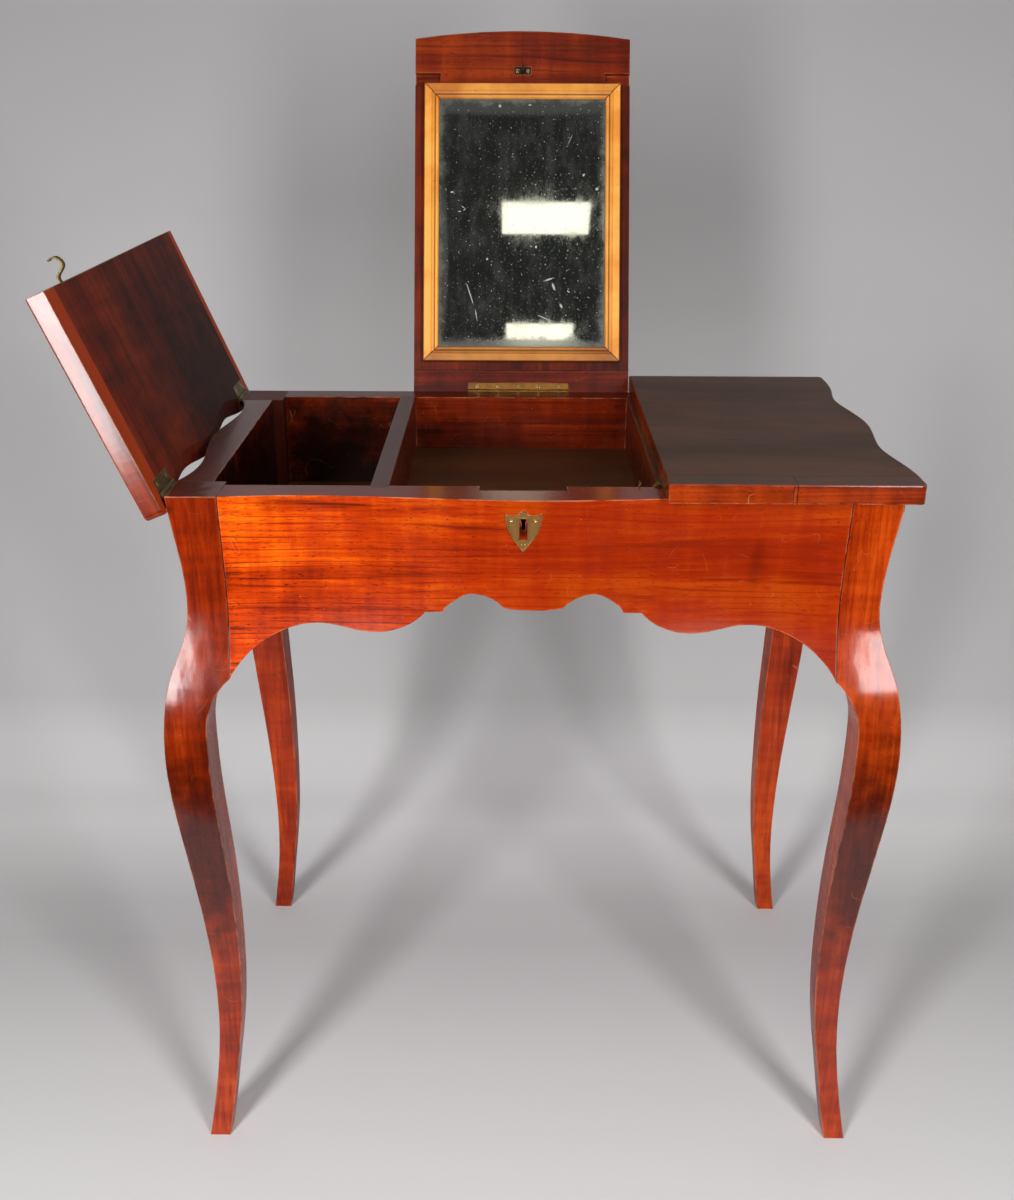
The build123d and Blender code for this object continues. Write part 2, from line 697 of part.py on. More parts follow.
def keyhole(depth_from, depth_to):
    """Round and slot along Y between two depths."""
    width, below = KEY_SLOT
    outline = Circle(KEY_R) + Pos(0, -below / 2) * Rectangle(width, below)
    plane = Plane((KEY_X, depth_to, KEY_Z), x_dir=(1, 0, 0), z_dir=(0, -1, 0))
    return extrude(plane * outline, depth_to - depth_from)


def lock_x():
    return KEY_X - LOCK_W / 2, KEY_X + LOCK_W / 2


def lock_case():
    x = lock_x()
    y = (lock_y() - LOCK_T / 2, lock_y() + LOCK_T / 2)
    z = (LOCK_TOP - LOCK_H, LOCK_TOP)
    case = block(x, y, z)
    case -= block((x[0] + LOCK_WALL, x[1] - LOCK_WALL), (y[0] + LOCK_WALL, y[1] - LOCK_WALL),
                  (z[0] + LOCK_WALL, z[1] - LOCK_WALL))
    half = STAPLE_T / 2 + STAPLE_ROOM
    deep = STAPLE_W / 2 + BOLT_PLAY
    case -= block((KEY_X - half, KEY_X + half), (lock_y() - deep, lock_y() + deep),
                  (z[1] - 2 * LOCK_WALL, z[1]))
    return case - keyhole(y[0] - 1, y[0] + LOCK_WALL + 0.5)


def lock_bolt():
    """Bolt at rest, drawn back; it slides towards +X through the staple."""
    y = (lock_y() - BOLT_T / 2, lock_y() + BOLT_T / 2)
    tip = KEY_X - STAPLE_T / 2 - 2 * BOLT_PLAY
    back = tip - BOLT_NOSE
    nose = block((back, tip), y, (BOLT_TOP - BOLT_H, BOLT_TOP))
    length, height = BOLT_TAIL
    return nose + block((back - length, back), y, (BOLT_TOP - height, BOLT_TOP))


def staple():
    """Striker in the head rail, with the eye the bolt goes through."""
    x = (KEY_X - STAPLE_T / 2, KEY_X + STAPLE_T / 2)
    y = lock_y()
    length, width, thick = STAPLE_PLATE
    plate = block((KEY_X - length / 2, KEY_X + length / 2), (y - width / 2, y + width / 2),
                  (RAIL_TOP, RAIL_TOP + thick))
    prong = block(x, (y - STAPLE_W / 2, y + STAPLE_W / 2), (RAIL_TOP - STAPLE_DROP, RAIL_TOP + thick))
    half = BOLT_T / 2 + BOLT_PLAY
    eye = block(x, (y - half, y + half), (BOLT_TOP - BOLT_H - BOLT_PLAY, BOLT_TOP + BOLT_PLAY))
    return plate + prong - eye


def lock_screw_places():
    y = lock_y() + LOCK_T / 2
    low = LOCK_TOP - LOCK_H + LOCK_SCREW_IN
    return [Pos(x, y, z) * Rot(-90, 0, 0)
            for x in (lock_x()[0] + LOCK_SCREW_IN, lock_x()[1] - LOCK_SCREW_IN)
            for z in (low, low + LOCK_SCREW_PITCH)]


# ---- keyhole shield --------------------------------------------------------
def shield_outline():
    half = SHIELD_W / 2
    scoop_x, scoop_y = SHIELD_SCOOP
    side = [(x, -drop) for x, drop in SHIELD_SIDE]
    right = [
        ThreePointArc((0, 0), (scoop_x, -scoop_y), (half, -SHIELD_EAR)),
        Spline((half, -SHIELD_EAR), *side, (0, -SHIELD_H)),
    ]
    return make_face(right + [mirror(edge, about=Plane.YZ) for edge in right])


def shield_plane():
    """Plane lying on the hollow front of the apron, origin at the shield's top point."""
    bottom = SHIELD_TOP - SHIELD_H
    slope = (set_in(SHIELD_TOP) - set_in(bottom)) / SHIELD_H
    y = -HALF_D - FRONT_SWELL + set_in(SHIELD_TOP)
    return Plane((KEY_X, y, SHIELD_TOP), x_dir=(1, 0, 0), z_dir=(0, -1, slope))


def shield_blank():
    plane = shield_plane().offset(-SHIELD_SEAT)
    return extrude(plane * shield_outline(), SHIELD_T)


def shield():
    face = shield_plane().offset(SHIELD_T - SHIELD_SEAT)
    field = Pos(0, -SHIELD_RIM) * scale(shield_outline(), 1 - 2 * SHIELD_RIM / SHIELD_W)
    window = Pos(0, -WINDOW_Y) * Rectangle(WINDOW_W, WINDOW_H)
    border = Pos(0, -WINDOW_Y) * Rectangle(WINDOW_W + 2 * WINDOW_RIM, WINDOW_H + 2 * WINDOW_RIM)
    plate = shield_blank() - extrude(face * (field - border), -SHIELD_SUNK)
    return plate - extrude(face * window, -2 * SHIELD_T)


def nails(play):
    """The shield's four round-headed nails, or the holes for them."""
    face = shield_plane().offset(SHIELD_T - SHIELD_SEAT - SHIELD_SUNK)
    found = []
    for (x, drop), radius in ((NAIL_UP, NAIL_UP_R), (NAIL_LOW, NAIL_LOW_R)):
        shank = extrude(Circle(NAIL_R + play), -NAIL_L - play)
        dome = Sphere(radius) & Pos(0, 0, radius) * Box(4 * radius, 4 * radius, 2 * radius)
        nail = shank if play else dome + shank
        found += [face.location * Pos(side * x, -drop, 0) * nail for side in (-1, 1)]
    return found


# ---- assembly --------------------------------------------------------------
def case_parts(butts, strap):
    """Everything that stands still."""
    front_left = leg_blank()
    legs = {
        "front_left_leg": front_left,
        "front_right_leg": mirror_x(front_left),
        "rear_left_leg": mirror_y(front_left),
        "rear_right_leg": mirror_x(mirror_y(front_left)),
    }
    left_side = side_apron_blank()
    front = front_apron_blank()
    rear = rear_apron_blank()
    dividers = [partition(-1), partition(1)]
    floors = {"tray_floor": tray_floor(), "left_well_floor": well_floor(-1), "right_well_floor": well_floor(1)}
    sides = {"left_apron": left_side, "right_apron": mirror_x(left_side)}
    for name in legs:
        for rail in (left_side, sides["right_apron"], front, rear):
            legs[name] -= rail
        for cutter in butts["case_seats"] + butts["case_holes"]:
            legs[name] -= cutter
            legs[name] -= mirror_x(cutter)
    for name in sides:
        sides[name] -= floors["left_well_floor"]
        sides[name] -= floors["right_well_floor"]
    divider_parts = {}
    for name, divider in zip(("left_partition", "right_partition"), dividers):
        divider_parts[name] = drilled(divider, list(floors.values()))
    lock_screws, lock_holes = screw_set(lock_screw_places())
    nail_holes = nails(SCREW_PLAY)
    lock_room = block(lock_x(), (-IN_FRONT - LOCK_T, -IN_FRONT), (LOCK_TOP - LOCK_H, RAIL_TOP))
    front = drilled(front, dividers + [lock_room, keyhole(-HALF_D - 20, -IN_FRONT), shield_blank()])
    front = drilled(front, nail_holes + lock_holes)
    rear = drilled(rear, dividers + [strap["case_seat"]] + strap["case_holes"])
    parts = {**legs, **sides, "front_apron": front, "rear_apron": rear, **divider_parts, **floors}
    parts["lock_case"] = drilled(lock_case(), lock_holes)
    parts["lock_screws"] = group(lock_screws)
    parts["keyhole_shield"] = drilled(shield(), nail_holes)
    parts["keyhole_shield_nails"] = group(nails(0))
    for end in ("front", "rear"):
        for piece in ("case_leaf", "pin"):
            parts["right_" + end + "_hinge_" + piece] = butts[end + "_" + piece]
            parts["left_" + end + "_hinge_" + piece] = mirror_x(butts[end + "_" + piece])
    parts["mirror_hinge_case_leaf"] = strap["case_leaf"]
    parts["mirror_hinge_pin"] = strap["pin"]
    fixed = butts["case_screws"] + [mirror_x(one) for one in butts["case_screws"]] + strap["case_screws"]
    parts["case_hinge_screws"] = group(fixed)
    return parts


def lid_parts(side, found, turn):
    """Name the pieces of one lid and put them in their pose."""
    names = {
        "front_edging": "_lid_front_edging",
        "board": "_lid_board",
        "rear_edging": "_lid_rear_edging",
        "hook": "_lid_hook",
        "front_leaf": "_front_hinge_lid_leaf",
        "rear_leaf": "_rear_hinge_lid_leaf",
    }
    parts = {side + names[key]: turn(found[key]) for key in names}
    parts[side + "_lid_screws"] = group(turn(one) for one in found["screws"])
    return parts


def left_lid_parts(butts):
    axis = Axis((-BUTT_AXIS_X, 0, RAIL_TOP), (0, 1, 0))
    found = lid(PANEL_HALF + PANEL_PLAY - BAY_X, LEFT_EAR, butts)
    return lid_parts("left", found, lambda part: mirror_x(part).rotate(axis, -OPEN_ANGLE))


def right_lid_parts(butts):
    parts = lid_parts("right", lid(PANEL_HALF + PANEL_PLAY + BAY_X, LID_EAR, butts), lambda part: part)
    edging = parts.pop("right_lid_front_edging")
    z = (RAIL_TOP, RAIL_TOP + LID_T)
    parts["right_lid_front_edging_inner"] = edging & block((0, EDGING_JOINT_X), (LID_FRONT, 0), z)
    parts["right_lid_front_edging_outer"] = edging & block((EDGING_JOINT_X, CASE_W), (LID_FRONT, 0), z)
    return parts


def panel_parts(strap):
    """Centre panel with its looking-glass, swung open about the long hinge."""
    axis = Axis((0, STRAP_AXIS_Y, RAIL_TOP), (1, 0, 0))
    striker = staple()
    places = [Pos(KEY_X + side * STAPLE_SCREWS, lock_y(), RAIL_TOP) * Rot(180, 0, 0) for side in (-1, 1)]
    screws, holes = screw_set(places)
    slab = rounded_slab(panel_outline())
    slab = drilled(slab, strap["panel_seats"] + [striker] + strap["panel_holes"] + holes + hook_pockets())
    wide = (-CASE_W, CASE_W)
    z = (RAIL_TOP, RAIL_TOP + LID_T)
    parts = {
        "mirror_head_rail": slab & block(wide, (-CASE_D, HEAD_RAIL_Y), z),
        "mirror_board": slab & block(wide, (HEAD_RAIL_Y, FOOT_RAIL_Y), z),
        "mirror_foot_rail": slab & block(wide, (FOOT_RAIL_Y, CASE_D), z),
        "mirror_glass": looking_glass(),
        "mirror_hinge_panel_leaf": strap["panel_leaf"],
        "lock_striker": drilled(striker, holes),
    }
    for name, piece in mouldings().items():
        parts["mirror_moulding_" + name] = piece
    parts = {name: part.rotate(axis, -OPEN_ANGLE) for name, part in parts.items()}
    screws += strap["panel_screws"]
    parts["mirror_panel_screws"] = group(one.rotate(axis, -OPEN_ANGLE) for one in screws)
    return parts


def build():
    """All sub-parts by name, with the origin under the middle of the case."""
    butts = butt_hinges()
    strap = strap_hinge()
    parts = case_parts(butts, strap)
    parts.update(left_lid_parts(butts))
    parts.update(right_lid_parts(butts))
    parts.update(panel_parts(strap))
    parts["lock_bolt"] = lock_bolt()
    return parts


def place_on_origin(parts):
    """Move everything so the bounding box stands centred on the origin."""
    boxes = [part.bounding_box() for part in parts.values()]
    x = (min(b.min.X for b in boxes) + max(b.max.X for b in boxes)) / 2
    y = (min(b.min.Y for b in boxes) + max(b.max.Y for b in boxes)) / 2
    return {name: Pos(-x, -y, 0) * part for name, part in parts.items()}, (x, y)


def main():
    os.makedirs("parts", exist_ok=True)
    parts, shift = place_on_origin(build())
    for name, part in parts.items():
        export_step(part, "parts/" + name + ".step")
    print(len(parts), "sub-parts; case centre at", [round(-v, 3) for v in shift])


if __name__ == "__main__":
    main()
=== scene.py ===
"""Looks of the poudreuse dressing table: finishes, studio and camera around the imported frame.

All lengths are in metres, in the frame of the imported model: +X to the sitter's right,
-Y towards the sitter, +Z up.  Every wood material works in its piece's own place with
the lids and the looking-glass panel closed, so the grain runs on from board to board.
"""

import logging
import math
from dataclasses import dataclass, field
from enum import Enum
from functools import partial
from typing import Any, Callable, Optional, Sequence, Union

import bpy
from mathutils import Euler, Matrix, Vector


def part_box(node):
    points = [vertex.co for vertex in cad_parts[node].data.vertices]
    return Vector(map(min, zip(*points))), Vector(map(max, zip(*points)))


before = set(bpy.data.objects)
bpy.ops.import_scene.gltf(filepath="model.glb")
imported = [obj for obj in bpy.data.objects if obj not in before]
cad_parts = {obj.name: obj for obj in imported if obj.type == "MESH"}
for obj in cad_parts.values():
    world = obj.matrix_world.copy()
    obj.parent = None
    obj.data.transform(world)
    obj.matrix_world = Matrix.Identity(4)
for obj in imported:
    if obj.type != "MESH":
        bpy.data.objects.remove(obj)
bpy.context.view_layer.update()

LOG = logging.getLogger("poudreuse")

Node = bpy.types.Node
Adder = Callable[..., Node]                         # add_node, bound to the tree of one material
Triple = tuple[float, float, float]

MM = 0.001
CASE_CENTRE = Vector((0.038102, -0.081499, 0.0))    # middle of the case on the floor
RAIL_TOP = 0.730
OPEN_ANGLE = math.radians(112.5)                    # how far a lid or the panel is swung open
GLASS_CENTRE = (0.028102, -0.074149)                # middle of the looking-glass, with the panel shut
CROWN_PER_M = 1.0                                   # a scraped face falls 1 mm at 32 mm from its middle
FILM_IOR = 1.5                                      # shellac, wax and wood fibre alike
GLUE = "#1c0703"                                    # the dark line of a glued joint


# ---- colour and node helpers -------------------------------------------------
def linear(colour: str) -> tuple[float, float, float, float]:
    """Turn an sRGB hex colour into the linear values Blender works in.

    Args:
        colour: Six hex digits after a hash sign.

    Returns:
        Linear red, green and blue, and full opacity.
    """
    parts = [int(colour[i:i + 2], 16) / 255 for i in (1, 3, 5)]
    red, green, blue = (c / 12.92 if c <= 0.04045 else ((c + 0.055) / 1.055) ** 2.4 for c in parts)
    return red, green, blue, 1.0


# The property that a node's kind may set after a dot.
MODES = {"Math": "operation", "VectorMath": "operation", "Mix": "data_type", "Mapping": "vector_type",
         "MapRange": "interpolation_type"}


def add_node(tree: bpy.types.NodeTree, kind: str, *values: Any, sockets: Optional[dict[str, Any]] = None,
             stops: Sequence[tuple[float, str]] = (), **settings: Any) -> Node:
    """Add one node with its settings and links.

    Args:
        tree: Node tree to add to.
        kind: Blender's name of the node type without "ShaderNode", and its mode after a dot.
        values: What goes into the inputs in use, in their order: a number, a hex colour, a
            socket, or a node for that node's first output in use.
        sockets: The same for inputs by name.
        stops: Places and hex colours of a colour ramp.
        settings: Other properties of the node.

    Returns:
        The new node.
    """
    kind, _, mode = kind.partition(".")
    made = tree.nodes.new("ShaderNode" + kind)
    if mode:
        settings[MODES[kind]] = mode
    for name, setting in settings.items():
        setattr(made, name, setting)
    if stops:
        marks = made.color_ramp.elements
        while len(marks) < len(stops):
            marks.new(0.5)
        for mark, (place, colour) in zip(marks, stops):
            mark.position, mark.color = place, linear(colour)
    pairs = list(zip((socket for socket in made.inputs if socket.enabled), values))
    pairs += [(made.inputs[name], value) for name, value in (sockets or {}).items()]
    for socket, value in pairs:
        if isinstance(value, Node):
            value = next(output for output in value.outputs if output.enabled)
        if isinstance(value, bpy.types.NodeSocket):
            tree.links.new(value, socket)
        else:
            socket.default_value = linear(value) if isinstance(value, str) else value
    return made


def apart(add: Adder, first: Any, second: Any) -> Node:
    """Show how far two values are apart."""
    return add("Math.ABSOLUTE", add("Math.SUBTRACT", first, second))


def blank(name: str) -> tuple[bpy.types.Material, Adder]:
    """Make a material with no nodes.

    Args:
        name: Name of the real finish.

    Returns:
        The material, and what adds a node to it.
    """
    material = bpy.data.materials.new(name)
    material.use_nodes = True
    material.node_tree.nodes.clear()
    return material, partial(add_node, material.node_tree)


def put_on(node: str, material: bpy.types.Material) -> None:
    """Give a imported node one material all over, and report it.

    Args:
        node: The piece's name.
        material: Its finish.
    """
    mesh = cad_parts[node].data
    mesh.materials.clear()
    mesh.materials.append(material)
    LOG.info("%s: %s", node, material.name)


# ---- where a piece sits when everything is shut -------------------------------
class Rest(Enum):
    """How a body stands at rest: the hinge it has swung on, from the case's centre, and its axis."""

    FIXED = None
    LEFT_LID = ((-0.3355, 0.0, RAIL_TOP), "Y")
    PANEL = ((0.0, 0.2062, RAIL_TOP), "X")

    def closing_turn(self) -> tuple[Matrix, Vector]:
        """Work out what takes a piece from its rest place to its closed place.

        Returns:
            Rotation matrix and the translation that follows it.
        """
        if self is Rest.FIXED:
            return Matrix.Identity(3), Vector((0, 0, 0))
        hinge, axis = self.value
        pivot, turn = Vector(hinge) + CASE_CENTRE, Matrix.Rotation(OPEN_ANGLE, 3, axis)
        return turn, pivot - turn @ pivot

    def place(self, add: Adder) -> Node:
        """Give the place of each point with everything shut."""
        turn, move = self.closing_turn()
        return add("Mapping.POINT", add("TexCoord").outputs["Object"], move, turn.to_euler())

    def facing(self, add: Adder) -> Node:
        """Give the way each face looks with everything shut."""
        turn, _ = self.closing_turn()
        return add("Mapping.VECTOR", add("TexCoord").outputs["Normal"], turn.to_euler())


class Grain(Enum):
    """Which way the wood's fibres run in a piece, with everything shut."""

    ACROSS = (0.0, 0.0, 0.0)
    FRONT_TO_BACK = (0.0, 0.0, -math.pi / 2)
    UPRIGHT = (0.0, math.pi / 2, 0.0)


# ---- patterns ----------------------------------------------------------------
@dataclass(frozen=True)
class Pattern:
    """A soft random pattern, and the part of its range that shows.

    Attributes:
        per_m: Features per metre, in all directions or along, across and through the board.
        octaves: How many finer sizes it has.
        shows: Where in its range it begins to show and where it shows in full; none to show all of it.
        most: How strongly it shows then, from 0 to 1.
        fine: Strength of the finer sizes.
        twist: How far its lines are bent.
        curve: How it rises between the two ends of what shows.
    """

    per_m: Union[float, Triple]
    octaves: float
    shows: Optional[tuple[float, float]] = None
    most: float = 1.0
    fine: float = 0.6
    twist: float = 0.0
    curve: str = "LINEAR"

    def draw(self, add: Adder, place: Any, share: float = 1.0) -> Node:
        """Stretch the pattern to its scale, draw it, and cut it to what shows.

        Args:
            add: Adds a node to the material.
            place: What it follows.
            share: Share of its strength to draw what shows at.

        Returns:
            Its value at each point.
        """
        scale = self.per_m
        if isinstance(self.per_m, tuple):
            place, scale = add("VectorMath.MULTIPLY", place, self.per_m), 1.0
        value = add("TexNoise", place, scale, self.octaves, self.fine, sockets={"Distortion": self.twist})
        if self.shows:
            value = add("MapRange." + self.curve, value, *self.shows, 0.0, self.most * share)
        return value


# The figure of a board.  Real pores and fibres are about 0.1 mm wide; they are drawn 1 mm
# and 6 mm wide to show.
SWAY = Pattern((1.3, 5.0, 5.0), 2.0)           # the rings bend once in 770 mm
PINCH = Pattern((0.4, 24.0, 24.0), 1.0)        # rings drawn together every 42 mm
BROKEN = Pattern((7.0, 70.0, 70.0), 3.0, (0.38, 0.62))     # a line fades every 143 mm
VEIN = Pattern((3.0, 60.0, 95.0), 4.0, (0.56, 0.70), 1.1, curve="SMOOTHSTEP")   # gum, 17 mm apart
PORE = Pattern((1000 / 7.0, 950.0, 950.0), 1.0, (0.62, 0.72))      # pore flecks 7 mm long
ZONE = Pattern((2.2, 11.0, 16.0), 4.0)         # heartwood zones 90 mm wide
STREAK = Pattern((5.0, 170.0, 170.0), 5.0)     # bundles of fibres 6 mm wide
CURL = Pattern((55.0, 9.0, 9.0), 2.0)          # curl across the fibres every 18 mm
BANDS = Pattern((4.0, 17.0, 17.0), 3.0, (0.38, 0.66), 0.45)        # grime, 59 mm wide
DASHES = Pattern((20.0, 210.0, 210.0), 2.0, (0.65, 0.73), 0.8)     # grime in dents 50 mm long
PLANED = Pattern((7.0, 24.0, 24.0), 2.0)       # hollows as wide as a plane iron, 42 mm

RING_LEAN = (0.0, 0.45, 1.0)                        # the rings meet the board's face at 24 degrees
BENDS = ((SWAY, 7), (PINCH, 4))                     # how many rings each can shift them by
BLEND = ((STREAK, 0.34), (ZONE, 0.58), (CURL, 0.23))    # how much each adds to a board's tone
TONE_PLACES = (0.45, 0.57, 0.70)                    # where that sum gives the dark, mid and light tones
LATE_WOOD = (0.70, 0.97)                            # the part of each ring that is late wood

# The surface of a board.
BEVEL_SAMPLES = 4
LOOKS_UP, LOOKS_DOWN, LOOKS_ASIDE = (0.55, 0.95), (-0.45, -0.85), (0.5, 0.9)    # of a unit normal
MOST_DUST = 0.86                                    # how much of a level face's colour is dust
WORN = (0.985, 0.86)                                # squareness where wear begins and is full
HAIR_WIDTH = (0.0006, 0.0024)                       # of the scratches, in their pattern's value
DULL_TO_BRIGHT = (0.3, 0.7)                         # of the value of the handled patches
STAIN_BORDER, RAGGEDNESS = (0.55, 1.50), 0.8        # in shares of a stain's reach
SEAM_DARKNESS = 0.85
HANDLED = Pattern(22.0, 4.0, fine=0.5)              # duller and brighter in patches of 45 mm
RUBBED = Pattern(60.0, 5.0, (0.38, 0.62), fine=0.5)     # breaks in a worn edge every 17 mm
RAGGED = Pattern(60.0, 4.0, fine=0.5)               # the ragged border of a stain
SPECKS = Pattern(420.0, 1.0, (0.80, 0.84), fine=0.5)    # dust and nicks, 2.4 mm apart
HAIRS = Pattern(19.0, 1.0, fine=0.5, twist=0.8)     # scratches 50 mm long, along its middle value
SCRATCHED = Pattern(38.0, 2.0, (0.54, 0.62), fine=0.5)  # patches of scratches, 26 mm
FILM = Pattern(260.0, 3.0, fine=0.5)                # shrunken film, 4 mm from dimple to dimple

BOXWOOD = Pattern(16.0, 6.0)                        # pale and dark lengths of moulding, 60 mm
FLY_SPECKS = Pattern(230.0, 2.0, (0.73, 0.77), 0.7, fine=0.5)   # 4 mm apart

BLOOM = Pattern(45.0, 7.0, fine=0.7)                # clouds in the silvering, 22 mm
FLAKED = Pattern(900.0, 2.0, fine=0.5)              # the ragged border of a flake, 1 mm
RUBBED_BRIGHT = (0.35, 0.70)                        # of the value of the tarnish on metal
WISPS = Pattern((60.0, 24.0, 40.0), 6.0, fine=0.75)     # wisps of tarnish 17 by 42 mm
WISPS_SHOW = (0.45, 0.85)
FLAKE_BORDER, FLAKE_RAGGEDNESS = (1.05, 1.45), 0.9      # in shares of a flake's reach


def squareness(add: Adder, bevel: Node) -> Node:
    """Show how nearly the softened normal of a bevel agrees with the true one: 1 off the edges."""
    return add("VectorMath.DOT_PRODUCT", bevel, add("NewGeometry").outputs["Normal"])


def inside(add: Adder, place: Any, half: tuple[float, float]) -> list[Node]:
    """Show how far each point lies inside a rectangle around the looking-glass's middle.

    Args:
        add: Adds a node to the material.
        place: Place with the panel shut.
        half: Half the rectangle's width and half its height.

    Returns:
        The distance from its nearer upright side, and from its nearer level one.
    """
    split = add("SeparateXYZ", place)
    return [add("Math.SUBTRACT", half[axis], apart(add, split.outputs[axis], GLASS_CENTRE[axis]))
            for axis in (0, 1)]


# ---- wood --------------------------------------------------------------------
@dataclass(frozen=True)
class WoodTone:
    """Colours of one board, from its darkest to its palest zones.

    Attributes:
        dark: Late wood and old shaded zones.
        mid: The board's main colour.
        light: Early wood under clear varnish.
        line: Growth lines and pores.
        top: The colour of faces that look up, dulled by dust in the polish.
        arris: Worn edges.
        soot_and_shade: Dirt and ink that have gone into the wood, and painted shade on the case's inner
            walls.
        under: The colour of faces that look down, where it isn't the dark one.
        bare: How much of it they take, from 0 to 1.
    """

    dark: str
    mid: str
    light: str
    line: str
    top: str
    arris: str
    soot_and_shade: str = "#160503"
    under: Optional[str] = None
    bare: float = 0.15


@dataclass(frozen=True)
class Board:
    """What the patterns of one wooden piece follow.

    Attributes:
        add: Adds a node to its material.
        closed: Place with everything shut.
        facing: The way each face looks, with everything shut.
        fibre: Place in the board, X along the fibres.
        up: Mask of the dusty upper faces.
        down: Mask of the bare lower ones.
        side: Mask of the thinly waxed ones that look left and right.
    """

    add: Adder
    closed: Node
    facing: Node
    fibre: Node
    up: Node
    down: Node
    side: Node

    @classmethod
    def lay(cls, add: Adder, grain: Grain, rest: Rest, shift: float) -> "Board":
        """Find all of them for one piece.

        Args:
            add: Adds a node to its material.
            grain: Which way its fibres run.
            rest: How its body stands at rest.
            shift: Moves the pattern, so that two boards aren't the same.

        Returns:
            The board.
        """
        closed, facing = rest.place(add), rest.facing(add)
        fibre = add("Mapping.POINT", closed, (shift, 0.7 * shift, 0.4 * shift), Euler(grain.value))
        way = add("SeparateXYZ", facing)
        up = add("MapRange", way.outputs["Z"], *LOOKS_UP, 0.0, MOST_DUST)
        down = add("MapRange", way.outputs["Z"], *LOOKS_DOWN)
        side = add("MapRange", add("Math.ABSOLUTE", way.outputs["X"]), *LOOKS_ASIDE)
        return cls(add, closed, facing, fibre, up, down, side)


@dataclass(frozen=True)
class Seam:
    """A glued joint or mitre that shows as a thin dark line.

    Attributes:
        axis: 0, 1 or 2 for a plane across X, Y or Z, with everything shut.
        place: Where that plane lies.
        width: Width of the line.
    """

    axis: int
    place: float
    width: float = 1.1 * MM

    def mask(self, board: Board) -> Node:
        """Draw the line.

        Args:
            board: What the piece's patterns follow.

        Returns:
            How dark each point is.
        """
        across = board.add("SeparateXYZ", board.closed).outputs[self.axis]
        near = apart(board.add, across, self.place)
        return board.add("MapRange", near, 0.35 * self.width, 0.65 * self.width, SEAM_DARKNESS, 0.0)


@dataclass(frozen=True)
class Fade:
    """A board that darkens slowly from one end to the other.

    Attributes:
        pale: X where it is palest.
        deep: X where it is darkest.
        amount: How dark it is there, from 0 to 1.
    """

    pale: float
    deep: float
    amount: float

    def mask(self, board: Board) -> Node:
        """Show how dark each point is."""
        along = board.add("SeparateXYZ", board.closed).outputs["X"]
        return board.add("MapRange", along, self.pale, self.deep, 0.0, self.amount)


@dataclass(frozen=True)
class StainAndPaintedShade:
    """A soft dark patch: ink or wax that has gone into the wood, and painted shade on the case's inner walls.

    Attributes:
        centre: Middle of the patch, with everything shut.
        reach: How far it reaches along X, Y and Z.
        strength: How dark it is, from 0 to 1.
        faces: Only faces that look this way take it; none means all of them.
    """

    centre: Triple
    reach: Triple
    strength: float
    faces: Optional[Triple] = None

    def mask(self, board: Board) -> Node:
        """Draw the patch with a ragged border.

        Args:
            board: What the piece's patterns follow.

        Returns:
            How dark each point is.
        """
        add = board.add
        away = add("VectorMath.SUBTRACT", board.closed, self.centre)
        away = add("VectorMath.LENGTH", add("VectorMath.DIVIDE", away, self.reach))
        patch = add("Math.MULTIPLY_ADD", RAGGED.draw(add, board.closed), RAGGEDNESS, away)
        patch = add("MapRange.SMOOTHSTEP", patch, *STAIN_BORDER, self.strength, 0.0)
        if self.faces:
            towards = add("VectorMath.DOT_PRODUCT", board.facing, self.faces)
            patch = add("Math.MULTIPLY", patch, add("Math.MAXIMUM", towards, 0.0))
        return patch


